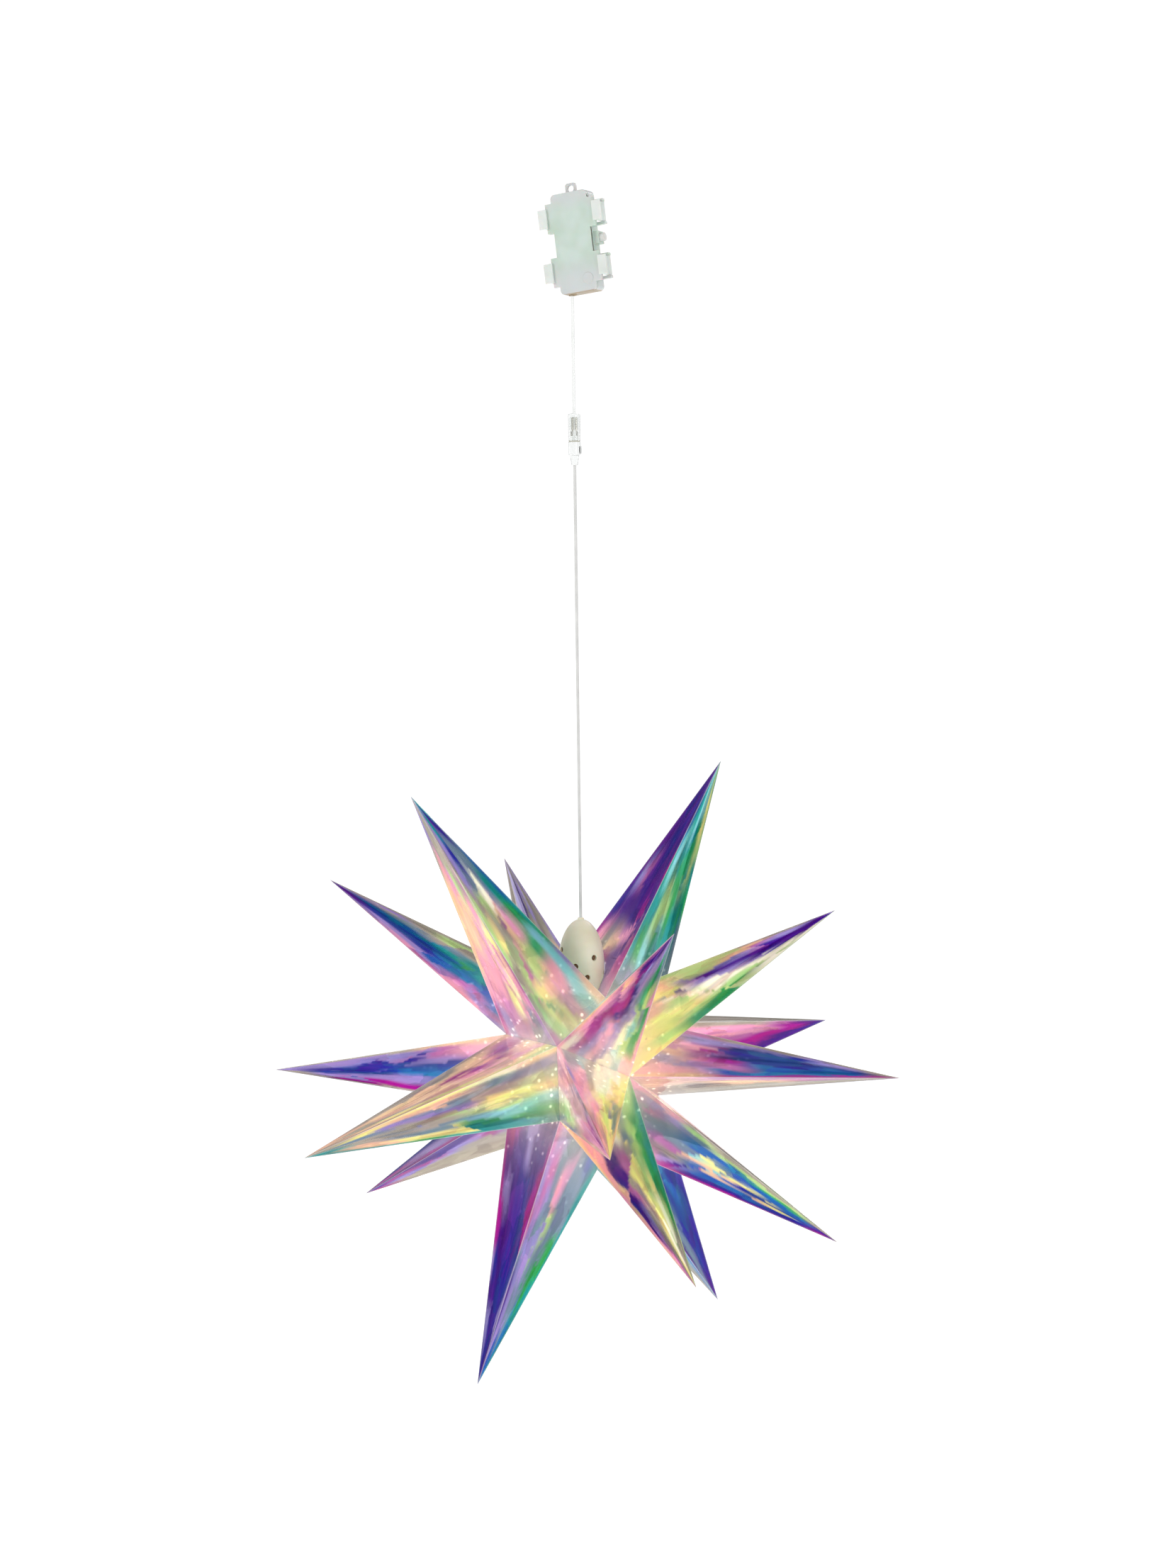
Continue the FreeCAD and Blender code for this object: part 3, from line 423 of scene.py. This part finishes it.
def band_colours(recipe, u, v):
    """Colour and cover at u along and v across a face: the recipe's rows lie evenly between
    u = 0.05 and u = 0.95 and each is blended into the next one by a soft step."""
    rows = recipe.split()
    place = np.clip((u - 0.05) / 0.9, 0, 1) * (len(rows) - 1)
    colour = band_row(rows[0], v)
    for number, text in enumerate(rows[1:]):
        share = soft_step((place - number - 0.5) * 1.15 + 0.5)[..., None]
        colour = colour * (1 - share) + band_row(text, v) * share
    return colour


print("bands across:", band_row("vty", np.array([0.0, 0.5, 1.0])).round(2).tolist())

# %% [markdown]
# ## One face, then a whole spike
# The folds stay straight, and each face between them bows inwards and ripples a little,
# which is what breaks the reflections into streaks. Near the core the film is thin on
# colour and warm with lamp light; towards the tip two layers lie close together and cover
# more.

# %% Spike grid
BOW = 0.030             # how far a face bows inwards, as a share of its width there
RIPPLE = 0.014          # how far it ripples, in the same way
RISE_END = 0.2          # the share of the length over which both grow from nothing
CREASES = 8
GLOW_REACH = 48 * MM
LAMP_WARMTH = np.array([0.95, 0.80, 0.62])
WARM_SHARE = 0.42
FAR_COVER = 0.88        # cover near the tip, and how much less it is beside the lamps
NEAR_LESS = 0.40
FOLD_PALE = np.array([0.80, 0.78, 0.74, 0.95])
FOLD_WIDTH = 0.6 * MM
FOLD_SHARE = 0.42


def face_points(rng, first, second, tip, base_middle):
    """One face's grid. Every point starts on a straight line from the base to the tip and
    is then moved out along the face's normal by sin(pi v) (ripple - bow) times the width
    there, which is zero at both folds."""
    steps = across_steps()
    along = np.linspace(0, 1, ROWS + 1)[:-1] ** 0.9
    foot = first + (second - first) * steps[:, None]
    begin = opening_start(foot, tip)
    u = begin[None, :] + (1 - begin[None, :]) * along[:, None]
    v = np.broadcast_to(steps, u.shape)
    flat = foot[None] + (tip - foot[None]) * u[..., None]
    normal = np.cross(second - first, tip - first)
    normal /= np.linalg.norm(normal)
    if normal @ (foot.mean(0) - base_middle) < 0:
        normal = -normal
    width = np.linalg.norm(second - first) * (1 - u)
    ripple = smooth_waves(rng, u, v, 4, 1.6, 2.4)
    rise = np.clip(u / RISE_END, 0, 1)
    lift = np.sin(np.pi * v) * rise * width * (RIPPLE * ripple - BOW)
    return u, v, width, flat, flat + normal * lift[..., None]


def fold_glint(colour, v, width):
    """A fold is a tight bend that always throws back some light, so the bands turn pale
    within about 0.6 mm of it: a bell curve of the distance to the nearer fold."""
    distance = np.minimum(v, 1 - v) * width
    glint = FOLD_SHARE * np.exp(-(distance / FOLD_WIDTH) ** 2)[..., None]
    return colour * (1 - glint) + FOLD_PALE * glint


def face_tint(rng, recipe, u, v, width, glow):
    """One face's colour and cover: its recipe's bands, bent and broken by the creases, then
    shaded unevenly, warmed and cleared near the lamps, and paled along the folds."""
    bend = smooth_waves(rng, u, v * 0.6, 3, 3.0, 1.5)
    shift = smooth_waves(rng, u, v, 3, 2.0, 2.5)
    jumps = crease_steps(rng, u, v, CREASES)
    inside = np.minimum(2.5 * np.sin(np.pi * v), 1)
    colour = band_colours(recipe, u + 0.025 * shift + jumps, v + (0.035 * bend + jumps) * inside)
    shade = 1 + 0.08 * smooth_waves(rng, u, v, 4, 2.5, 2.5) + 0.7 * jumps
    colour[..., :3] *= np.clip(shade, 0.75, 1.35)[..., None]
    warm = WARM_SHARE * glow[..., None] ** 2
    colour[..., :3] = colour[..., :3] * (1 - warm) + LAMP_WARMTH * warm
    colour[..., 3] *= FAR_COVER - NEAR_LESS * glow
    return fold_glint(colour, v, width)


def spike_grid(node, ring, azimuth, recipes, seed):
    """Rows run from the open base to just under the tip, and columns run once round the
    folds, face after face. The lamps' glow fades with the distance from the core as
    exp(-distance / GLOW_REACH)."""
    rng = np.random.default_rng(seed)
    base = spike_base(ring, azimuth)
    tip = spike_tip(node)
    points, tints, glows, maps = [], [], [], []
    for face, recipe in enumerate(recipes):
        first, second = base[face], base[(face + 1) % len(base)]
        u, v, width, flat, bowed = face_points(rng, first, second, tip, base.mean(0))
        distance = np.linalg.norm(flat - MIDDLE, axis=2)
        glow = np.exp(-np.maximum(distance - CORE_OUT, 0) / GLOW_REACH)
        points.append(bowed)
        tints.append(face_tint(rng, recipe, u, v, width, glow))
        glows.append(glow)
        maps.append(np.stack([u, face + v], axis=-1))
    columns = [np.concatenate(part, 1) for part in (points, tints, glows, maps)]
    return tip, columns


tip, parts = spike_grid("film_spike_front_1", "front", 0, FRONT_BANDS[0], 100)
print("one spike grid:", parts[0].shape[:2], "tip:", tip.round(3))

# %% [markdown]
# A mesh holds the colour, cover and glow as attributes on its points, so that the bands
# follow the film wherever the spike goes, and a map of along and round for the fine
# streaks. Solidify then gives the sheet its real thickness and closes its rim.

# %% Build a spike
FILM_THICK = 0.3 * MM


def outward_faces(mesh, inside):
    """Turns the mesh over if its faces look towards a point inside it."""
    count = len(mesh.polygons)
    centres, normals = np.empty(count * 3), np.empty(count * 3)
    mesh.polygons.foreach_get("center", centres)
    mesh.polygons.foreach_get("normal", normals)
    facing = ((centres.reshape(-1, 3) - np.array(inside)) * normals.reshape(-1, 3)).sum()
    if facing < 0:
        mesh.flip_normals()


def build_spike(node, ring, azimuth, recipes, seed, material):
    """Fills one mesh from whole arrays: quads between neighbouring rows and columns, and a
    fan of triangles at the tip."""
    tip, (grid, tint, glow, place) = spike_grid(node, ring, azimuth, recipes, seed)
    rows, cols = grid.shape[:2]
    index = np.arange(rows * cols).reshape(rows, cols)
    right = np.roll(index, -1, axis=1)
    quads = np.stack([index[:-1], right[:-1], right[1:], index[1:]], -1).reshape(-1, 4)
    fan = np.stack([index[-1], right[-1], np.full(cols, rows * cols)], -1)
    verts = np.vstack([grid.reshape(-1, 3), tip])
    mesh = bpy.data.meshes.new(node + "_film")
    mesh.from_pydata(verts.tolist(), [], quads.tolist() + fan.tolist())
    mesh.update()
    tip_tint = tint[-1].mean(0)
    colours = np.vstack([tint.reshape(-1, 4), tip_tint])
    layer = mesh.attributes.new("film_tint", "FLOAT_COLOR", "POINT")
    layer.data.foreach_set("color", colours.ravel())
    shine = mesh.attributes.new("film_glow", "FLOAT", "POINT")
    shine.data.foreach_set("value", np.append(glow.ravel(), 0.0))
    point_map = np.vstack([place.reshape(-1, 2), [1.0, place[-1, :, 1].mean()]])
    corners = np.empty(len(mesh.loops), dtype=np.int64)
    mesh.loops.foreach_get("vertex_index", corners)
    chart = mesh.uv_layers.new(name="along_round")
    chart.data.foreach_set("uv", point_map[corners].ravel())
    outward_faces(mesh, verts.mean(0))
    mesh.shade_smooth()
    mesh.set_sharp_from_angle(angle=math.radians(24.0))
    mesh.materials.append(material)
    piece = bpy.data.objects.new(node + "_film", mesh)
    bpy.context.collection.objects.link(piece)
    thick = piece.modifiers.new("film_thickness", "SOLIDIFY")
    thick.thickness = FILM_THICK
    thick.offset = -1.0
    thick.use_rim = True
    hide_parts(node)
    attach(piece, "star")
    return piece


print("film thickness, mm:", round(FILM_THICK / MM, 2))

# %% [markdown]
# ## The film's surface
# Polyester film with an iridescent stack, heat-folded: glossy, a little crinkled along its
# length, and half clear. A partly metallic surface gives the coloured mirror look, a
# thin-film coat tints its highlights by angle, and a painted glow, low all over the film
# and stronger near the core, stands for lamp light caught in the film. Its patterns read
# the map: 1 along is a whole spike of about 240 mm and 1 round is a face of about 68 mm.
# So a streak is some 6 mm across at the base and 110 mm long, a facet is 17 mm by 27 mm,
# and a lamp's spark, a painted glint that glows near the core, comes every 10 mm or so.

# %% Film material
STREAKS_PER = (2.2, 11.0, 1.0)
FACETS_PER = (9.0, 4.0, 1.0)
SPARKS_PER_METRE = 105.0
FILM_COAT_NM = 380.0


def make_film():
    """Bands from the tint attribute; hue and brightness then vary from facet to facet of a
    warped cell pattern, and along fine streaks of a noise stretched along the spike."""
    material, tree, output = new_material("iridescent_polyester_film")
    tint = add(tree, "ShaderNodeAttribute", attribute_name="film_tint")
    glow = add(tree, "ShaderNodeAttribute", attribute_name="film_glow")
    chart = add(tree, "ShaderNodeUVMap", uv_map="along_round")
    streak_map = add(tree, "ShaderNodeMapping", {"Scale": STREAKS_PER},
                     {"Vector": chart.outputs["UV"]})
    streaks = add(tree, "ShaderNodeTexNoise", {"Scale": 1.0, "Detail": 3.0, "Roughness": 0.5},
                  {"Vector": streak_map.outputs["Vector"]})
    facet_map = add(tree, "ShaderNodeMapping", {"Scale": FACETS_PER},
                    {"Vector": chart.outputs["UV"]})
    warp = add(tree, "ShaderNodeTexNoise", {"Scale": 1.1, "Detail": 2.0},
               {"Vector": facet_map.outputs["Vector"]})
    bent_map = add(tree, "ShaderNodeVectorMath", {1: (1.6, 1.6, 0.0)},
                   {0: warp.outputs["Color"], 2: facet_map.outputs["Vector"]},
                   operation="MULTIPLY_ADD")
    facets = add(tree, "ShaderNodeTexVoronoi", {"Scale": 1.0},
                 {"Vector": bent_map.outputs["Vector"]})
    facet = add(tree, "ShaderNodeSeparateColor", None, {"Color": facets.outputs["Color"]})
    facet_hue = add(tree, "ShaderNodeMapRange", {"To Min": 0.433, "To Max": 0.467},
                    {"Value": facet.outputs["Red"]})
    hue = add(tree, "ShaderNodeMath", {1: 0.10},
              {0: streaks.outputs["Fac"], 2: facet_hue.outputs["Result"]},
              operation="MULTIPLY_ADD")
    facet_value = add(tree, "ShaderNodeMapRange", {"To Min": 0.72, "To Max": 1.02},
                      {"Value": facet.outputs["Green"]})
    value = add(tree, "ShaderNodeMath", {1: 0.46},
                {0: streaks.outputs["Fac"], 2: facet_value.outputs["Result"]},
                operation="MULTIPLY_ADD")
    shaded = add(tree, "ShaderNodeHueSaturation", {"Saturation": 1.05},
                 {"Hue": hue.outputs[0], "Value": value.outputs[0],
                  "Color": tint.outputs["Color"]})
    gloss = add(tree, "ShaderNodeMapRange", {"From Min": 0.3, "From Max": 0.7, "To Min": 0.05,
                                             "To Max": 0.16}, {"Value": streaks.outputs["Fac"]})
    crinkle = add(tree, "ShaderNodeBump", {"Strength": 0.22, "Distance": 0.4 * MM},
                  {"Height": streaks.outputs["Fac"]})
    place = add(tree, "ShaderNodeTexCoord")
    # Lamp sparks: painted glints, white spots of light on the film that fade away from the core.
    painted_spark_cells = add(tree, "ShaderNodeTexVoronoi", {"Scale": SPARKS_PER_METRE},
                 {"Vector": place.outputs["Object"]})
    spark = add(tree, "ShaderNodeMapRange", {"From Min": 0.09, "From Max": 0.23, "To Min": 1.0,
                                             "To Max": 0.0}, {"Value": painted_spark_cells.outputs["Distance"]})
    near = add(tree, "ShaderNodeMath", {1: 1.6}, {0: glow.outputs["Fac"]}, operation="POWER")
    sparkle = add(tree, "ShaderNodeMath", None, {0: spark.outputs["Result"], 1: near.outputs[0]},
                  operation="MULTIPLY")
    # Painted glow for lamp light in the film: emission of its own colour, 0.12 all over, up to 0.38
    # at the core.
    light = add(tree, "ShaderNodeMath", {1: 0.26, 2: 0.12}, {0: glow.outputs["Fac"]},
                operation="MULTIPLY_ADD")
    bright = add(tree, "ShaderNodeMath", {1: 1.0}, {0: sparkle.outputs[0], 2: light.outputs[0]},
                 operation="MULTIPLY_ADD")
    lit = add(tree, "ShaderNodeMix", {"B": srgb("#fff8e2")},
              {"Factor": sparkle.outputs[0], "A": shaded.outputs["Color"]}, data_type="RGBA")
    surface = add(tree, "ShaderNodeBsdfPrincipled",
                  {"Metallic": 0.5, "IOR": 1.5, "Specular IOR Level": 0.25,
                   "Thin Film Thickness": FILM_COAT_NM, "Thin Film IOR": 1.4},
                  {"Base Color": shaded.outputs["Color"], "Roughness": gloss.outputs["Result"],
                   "Alpha": tint.outputs["Alpha"], "Normal": crinkle.outputs["Normal"],
                   "Emission Color": lit.outputs["Result"],
                   "Emission Strength": bright.outputs[0]})
    tree.links.new(surface.outputs["BSDF"], output.inputs["Surface"])
    return material


film = make_film()
RINGS = (("equator", EQUATOR_BANDS), ("front", FRONT_BANDS), ("back", BACK_BANDS))
spikes = []
for ring_number, (ring, bands) in enumerate(RINGS):
    for number in range(6):
        node = "film_spike_%s_%d" % (ring, number + 1)
        spikes.append(build_spike(node, ring, 60 * number, bands[number],
                                  100 * ring_number + number, film))
print("spikes:", len(spikes), "faces each:", len(spikes[0].data.polygons))

# %% [markdown]
# ## The plastics of the box
# The battery box is injection-moulded polypropylene, frosted and faintly green, and a
# little see-through, so light wanders inside it and its thick middle looks greener than
# its edges. Subsurface scattering does the wandering, and a slow noise the unevenness.
# The latches are the same plastic without the green, the button is silicone, the connector
# clear vinyl, and the egg polystyrene, warm white.

# %% Moulded plastics
BOX_TILT = math.radians(6.44)
CLOUDS_PER_METRE = 45.0      # a cloud about every 22 mm
GRAINS_PER_METRE = 2600.0    # a moulding grain about every 0.4 mm


def make_moulded(name, pale, deep, roughness, scatter=0.0, clear=0.0, grain=0.03, bump=0.05,
                 inner=0.0):
    """A moulded plastic: two close colours mixed by a slow noise of about 20 mm, and a fine
    moulded grain in the roughness and the bump. clear is its transmission, and inner the
    light that comes through a thin wall from behind."""
    material, tree, output = new_material(name)
    place = add(tree, "ShaderNodeTexCoord")
    slow = add(tree, "ShaderNodeTexNoise", {"Scale": CLOUDS_PER_METRE, "Detail": 2.0},
               {"Vector": place.outputs["Object"]})
    blend = add(tree, "ShaderNodeMapRange", {"From Min": 0.35, "From Max": 0.65},
                {"Value": slow.outputs["Fac"]})
    colour = add(tree, "ShaderNodeMix", {"A": srgb(pale), "B": srgb(deep)},
                 {"Factor": blend.outputs["Result"]}, data_type="RGBA")
    fine = add(tree, "ShaderNodeTexNoise", {"Scale": GRAINS_PER_METRE, "Detail": 2.0},
               {"Vector": place.outputs["Object"]})
    gloss = add(tree, "ShaderNodeMapRange", {"To Min": roughness - grain,
                                             "To Max": roughness + grain},
                {"Value": fine.outputs["Fac"]})
    relief = add(tree, "ShaderNodeBump", {"Strength": bump, "Distance": 0.05 * MM},
                 {"Height": fine.outputs["Fac"]})
    surface = add(tree, "ShaderNodeBsdfPrincipled",
                  {"IOR": 1.49, "Subsurface Weight": scatter, "Subsurface Scale": 4 * MM,
                   "Transmission Weight": clear, "Emission Strength": inner},
                  {"Base Color": colour.outputs["Result"], "Roughness": gloss.outputs["Result"],
                   "Emission Color": colour.outputs["Result"],
                   "Normal": relief.outputs["Normal"]})
    tree.links.new(surface.outputs["BSDF"], output.inputs["Surface"])
    return material


def shade_box_ends(material):
    """The box looks grey where its ends are empty, green where the cells fill it, and tan on
    its floor, a painted shade for the underside in shadow: three colours mixed by the depth
    below the loop, measured along the box."""
    tree = material.node_tree
    surface = [n for n in tree.nodes if n.type == "BSDF_PRINCIPLED"][0]
    moulded = surface.inputs["Base Color"].links[0].from_socket
    place = add(tree, "ShaderNodeTexCoord")
    down = (math.sin(BOX_TILT), 0.0, -math.cos(BOX_TILT))
    depth = add(tree, "ShaderNodeVectorMath", {1: down}, {0: place.outputs["Object"]},
                operation="DOT_PRODUCT")
    top = add(tree, "ShaderNodeMapRange", {"From Min": 8 * MM, "From Max": 20 * MM, "To Min": 0.75,
                                           "To Max": 0.0}, {"Value": depth.outputs["Value"]})
    low = add(tree, "ShaderNodeMapRange", {"From Min": 58 * MM, "From Max": 74 * MM,
                                           "To Min": 0.0, "To Max": 0.75},
              {"Value": depth.outputs["Value"]})
    ends = add(tree, "ShaderNodeMath", None, {0: top.outputs[0], 1: low.outputs[0]},
               operation="MAXIMUM")
    greyed = add(tree, "ShaderNodeMix", {"B": srgb("#cfd0d2")},
                 {"Factor": ends.outputs[0], "A": moulded}, data_type="RGBA")
    # Painted shade: the floor of the box turns tan, as its underside lies in shadow.
    floor = add(tree, "ShaderNodeMapRange", {"From Min": 87.9 * MM, "From Max": 88.5 * MM},
                {"Value": depth.outputs["Value"]})
    shaded_underside = add(tree, "ShaderNodeMix", {"B": srgb("#a3947c")},
                 {"Factor": floor.outputs[0], "A": greyed.outputs["Result"]}, data_type="RGBA")
    tree.links.new(shaded_underside.outputs["Result"], surface.inputs["Base Color"])


frosted_case = make_moulded("frosted_polypropylene", "#cad8d0", "#bccebf", 0.42, scatter=0.3)
shade_box_ends(frosted_case)
latch_plastic = make_moulded("milky_polypropylene", "#d6dcd8", "#cad1cc", 0.30, scatter=0.2,
                             inner=0.15)
button_rubber = make_moulded("grey_silicone", "#d2d3cf", "#c6c7c3", 0.6, scatter=0.2, inner=0.2)
seal_rubber = make_moulded("pale_silicone", "#c2bfae", "#b3ae9b", 0.55)
bush_rubber = make_moulded("tan_soft_vinyl", "#b9a88c", "#a08d70", 0.5)
coupler_plastic = make_moulded("clear_vinyl", "#fafbfa", "#f2f5f4", 0.07, clear=0.95, grain=0.03)
egg_plastic = make_moulded("warm_white_polystyrene", "#f1e9d2", "#e9dfc4", 0.34, scatter=0.3,
                           inner=0.08)
print("plastics ready")

# %% [markdown]
# ## Battery box, latches and plug
# Each moulded part is the refined copy of its CAD node with a rounding that suits it.

# %% Refine the box
refine("battery_cover", 0.8, frosted_case, 3)
refine("battery_tray", 0.6, frosted_case, 2)
for node in [n for n in frame["nodes"] if n.startswith("latch_") and n != "latch_pins"]:
    refine(node, 0.5, latch_plastic)
refine("power_button", 0.3, button_rubber)
refine("box_gasket", 0.15, seal_rubber)
bush = refine("cord_bush", 0.2, bush_rubber)
socket = refine("socket_shell", 0.3, coupler_plastic)
plug = refine("plug_shell", 0.3, coupler_plastic)
seal = refine("plug_seal", 0.15, seal_rubber)
refine("egg_shell_left", 0.25, egg_plastic)
refine("egg_shell_right", 0.25, egg_plastic)
grommet = refine("egg_grommet", 0.2, egg_plastic)

# %% [markdown]
# ## The other materials
# Clear vinyl sheath on the upper cord, light grey on the lower one, nickel on the contacts,
# drawn steel on pins and screws, amber resin on the lamps, and the parts inside the box.
# They are small, but each keeps its own grain. A CAD node keeps its mesh and only gets a
# material.

# %% Small parts' materials
def make_metal(name, tone, roughness):
    """A nickelled or drawn metal: tone as its mirror colour, with fine lengthwise wear."""
    material, tree, output = new_material(name)
    place = add(tree, "ShaderNodeTexCoord")
    wear = add(tree, "ShaderNodeTexNoise", {"Scale": 900.0, "Detail": 3.0},
               {"Vector": place.outputs["Object"]})
    gloss = add(tree, "ShaderNodeMapRange", {"To Min": roughness * 0.6, "To Max": roughness * 1.4},
                {"Value": wear.outputs["Fac"]})
    shade = add(tree, "ShaderNodeMix", {"A": srgb(tone), "B": srgb("#d8d4cc")},
                {"Factor": wear.outputs["Fac"]}, data_type="RGBA")
    surface = add(tree, "ShaderNodeBsdfPrincipled", {"Metallic": 1.0},
                  {"Base Color": shade.outputs["Result"], "Roughness": gloss.outputs["Result"]})
    tree.links.new(surface.outputs["BSDF"], output.inputs["Surface"])
    return material


def make_lamp():
    """The lamps' clear amber resin, dark in its hole with a faint warm glow."""
    material, tree, output = new_material("amber_epoxy_resin")
    place = add(tree, "ShaderNodeTexCoord")
    cloud = add(tree, "ShaderNodeTexNoise", {"Scale": 400.0}, {"Vector": place.outputs["Object"]})
    tone = add(tree, "ShaderNodeMix", {"A": srgb("#5a3a1e"), "B": srgb("#3a2413")},
               {"Factor": cloud.outputs["Fac"]}, data_type="RGBA")
    surface = add(tree, "ShaderNodeBsdfPrincipled",
                  {"Roughness": 0.12, "IOR": 1.54, "Emission Color": srgb("#ff9a3c"),
                   "Emission Strength": 0.03}, {"Base Color": tone.outputs["Result"]})
    tree.links.new(surface.outputs["BSDF"], output.inputs["Surface"])
    return material


nickel = make_metal("nickelled_brass", "#a8a296", 0.28)
steel = make_metal("drawn_steel_wire", "#8f9092", 0.35)
lamp_resin = make_lamp()
dark_plastic = make_moulded("black_nylon", "#1b1b1c", "#242426", 0.5)
cell_sleeve = make_moulded("plain_shrink_sleeve", "#5d6468", "#495055", 0.3)
laminate = make_moulded("green_solder_mask", "#1f5b36", "#174a2b", 0.35)
lead_sleeve = make_moulded("red_vinyl_sleeve", "#b02a20", "#96231b", 0.4)
sheath_clear = make_moulded("clear_vinyl_sheath", "#fafbfa", "#f4f6f4", 0.10, clear=0.92)
sheath_grey = make_moulded("grey_vinyl_sheath", "#d6d6d4", "#c8c8c6", 0.35, inner=0.12)
NODE_MATERIALS = {
    "latch_pins": steel, "board_screws": steel, "contact_plates": nickel,
    "contact_springs": nickel, "socket_contacts": nickel, "plug_prongs": nickel,
    "tact_switch": dark_plastic, "battery_cell_1": cell_sleeve, "battery_cell_2": cell_sleeve,
    "battery_cell_3": cell_sleeve, "timer_board": laminate, "board_posts": frosted_case,
    "inner_leads": lead_sleeve, "cord_ball": sheath_clear, "lamp_bulbs": lamp_resin,
    "lamp_post": egg_plastic,
}
for node, material in NODE_MATERIALS.items():
    mesh = frame["nodes"][node].data
    mesh.materials.clear()
    mesh.materials.append(material)
upper_cord.data.materials.append(sheath_clear)
lower_cord.data.materials.append(sheath_grey)
print("node materials:", len(NODE_MATERIALS))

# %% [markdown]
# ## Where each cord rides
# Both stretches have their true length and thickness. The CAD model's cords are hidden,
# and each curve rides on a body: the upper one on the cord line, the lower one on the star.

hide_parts("upper_cord")
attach(upper_cord, "cord_line")
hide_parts("lower_cord")
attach(lower_cord, "star")
print("cords declared:", [piece.name for piece in (upper_cord, lower_cord)])

# %% [markdown]
# ## The white around it
# A plain bright studio. What the film mirrors is a dome of bright and dim panels, darker than
# the white that the camera sees behind it, so that its colours stay deep. Clear plastic
# shows what is behind it, so rays that pass through see the camera's white too.

# %% World
def make_world():
    """White to the camera and through clear parts; to everything else a dome of soft bright
    and dim panels."""
    world = bpy.data.worlds.new("studio")
    world.use_nodes = True
    tree = world.node_tree
    tree.nodes.clear()
    output = tree.nodes.new("ShaderNodeOutputWorld")
    place = add(tree, "ShaderNodeTexCoord")
    axes = add(tree, "ShaderNodeSeparateXYZ", None, {0: place.outputs["Generated"]})
    height = add(tree, "ShaderNodeMapRange", {"From Min": -1.0, "From Max": 1.0, "To Min": 0.55,
                                              "To Max": 1.0}, {"Value": axes.outputs["Z"]})
    panels = add(tree, "ShaderNodeTexNoise", {"Scale": 2.2, "Detail": 1.0},
                 {"Vector": place.outputs["Generated"]})
    panel = add(tree, "ShaderNodeMapRange", {"From Min": 0.44, "From Max": 0.56, "To Min": 0.22,
                                             "To Max": 1.0}, {"Value": panels.outputs["Fac"]})
    strength = add(tree, "ShaderNodeMath", None,
                   {0: height.outputs["Result"], 1: panel.outputs["Result"]},
                   operation="MULTIPLY")
    dome = add(tree, "ShaderNodeBackground", {"Color": (1, 1, 1, 1)},
               {"Strength": strength.outputs[0]})
    plain = add(tree, "ShaderNodeBackground", {"Color": (1, 1, 1, 1), "Strength": 1.05})
    path = add(tree, "ShaderNodeLightPath")
    direct = add(tree, "ShaderNodeMath", None, {0: path.outputs["Is Camera Ray"],
                                                1: path.outputs["Is Transmission Ray"]},
                 operation="MAXIMUM")
    mix = add(tree, "ShaderNodeMixShader", None, {0: direct.outputs[0], 1: dome.outputs[0],
                                                  2: plain.outputs[0]})
    tree.links.new(mix.outputs[0], output.inputs["Surface"])
    bpy.context.scene.world = world


make_world()
print("world:", bpy.context.scene.world.name)

# %% [markdown]
# ## Floor
# The lantern hangs, so the floor is far below it and only closes the room.

# %% Floor
def make_floor():
    """A pale matt floor 1.3 m below the star's middle, large enough to reach the horizon."""
    size = 30.0
    level = STAR_MIDDLE.z - 1.3
    mesh = bpy.data.meshes.new("floor")
    corners = [(-size, -size, level), (size, -size, level), (size, size, level),
               (-size, size, level)]
    mesh.from_pydata(corners, [], [(0, 1, 2, 3)])
    material, tree, output = new_material("pale_floor_paint")
    place = add(tree, "ShaderNodeTexCoord")
    mottle = add(tree, "ShaderNodeTexNoise", {"Scale": 1.5}, {"Vector": place.outputs["Object"]})
    tone = add(tree, "ShaderNodeMix", {"A": srgb("#fbfbfb"), "B": srgb("#ffffff")},
               {"Factor": mottle.outputs["Fac"]}, data_type="RGBA")
    paint = add(tree, "ShaderNodeBsdfPrincipled",
                {"Roughness": 0.9, "Emission Color": (1, 1, 1, 1), "Emission Strength": 0.5},
                {"Base Color": tone.outputs["Result"]})
    tree.links.new(paint.outputs["BSDF"], output.inputs["Surface"])
    mesh.materials.append(material)
    floor = bpy.data.objects.new("floor", mesh)
    bpy.context.collection.objects.link(floor)


make_floor()
print("floor level, m:", round(STAR_MIDDLE.z - 1.3, 3))

# %% [markdown]
# ## Lamps
# Three large soft lamps: one before and above for the shape, one low on the other side, and
# one behind that shines through the film. The film is many clear sheets deep, so a ray has
# to be let through more of them than usual.

# %% Lamps
def soft_lamp(name, place, aim, width, power):
    """A square area lamp of a width in metres, turned from its place towards aim."""
    data = bpy.data.lights.new(name, "AREA")
    data.size = width
    data.energy = power
    lamp = bpy.data.objects.new(name, data)
    direction = Vector(aim) - Vector(place)
    turn = direction.to_track_quat("-Z", "Y").to_matrix().to_4x4()
    lamp.matrix_world = Matrix.Translation(place) @ turn
    bpy.context.collection.objects.link(lamp)


soft_lamp("key_lamp", (-1.4, -2.0, 0.9), STAR_MIDDLE, 0.6, 15.0)
soft_lamp("fill_lamp", (2.2, -1.2, -0.2), STAR_MIDDLE, 0.8, 7.0)
soft_lamp("back_lamp", (0.6, 2.2, 0.8), STAR_MIDDLE, 0.6, 9.0)
bpy.context.scene.view_settings.view_transform = "Standard"
bpy.context.scene.cycles.transparent_max_bounces = 32
print("lamps:", [lamp.name for lamp in bpy.data.lights])
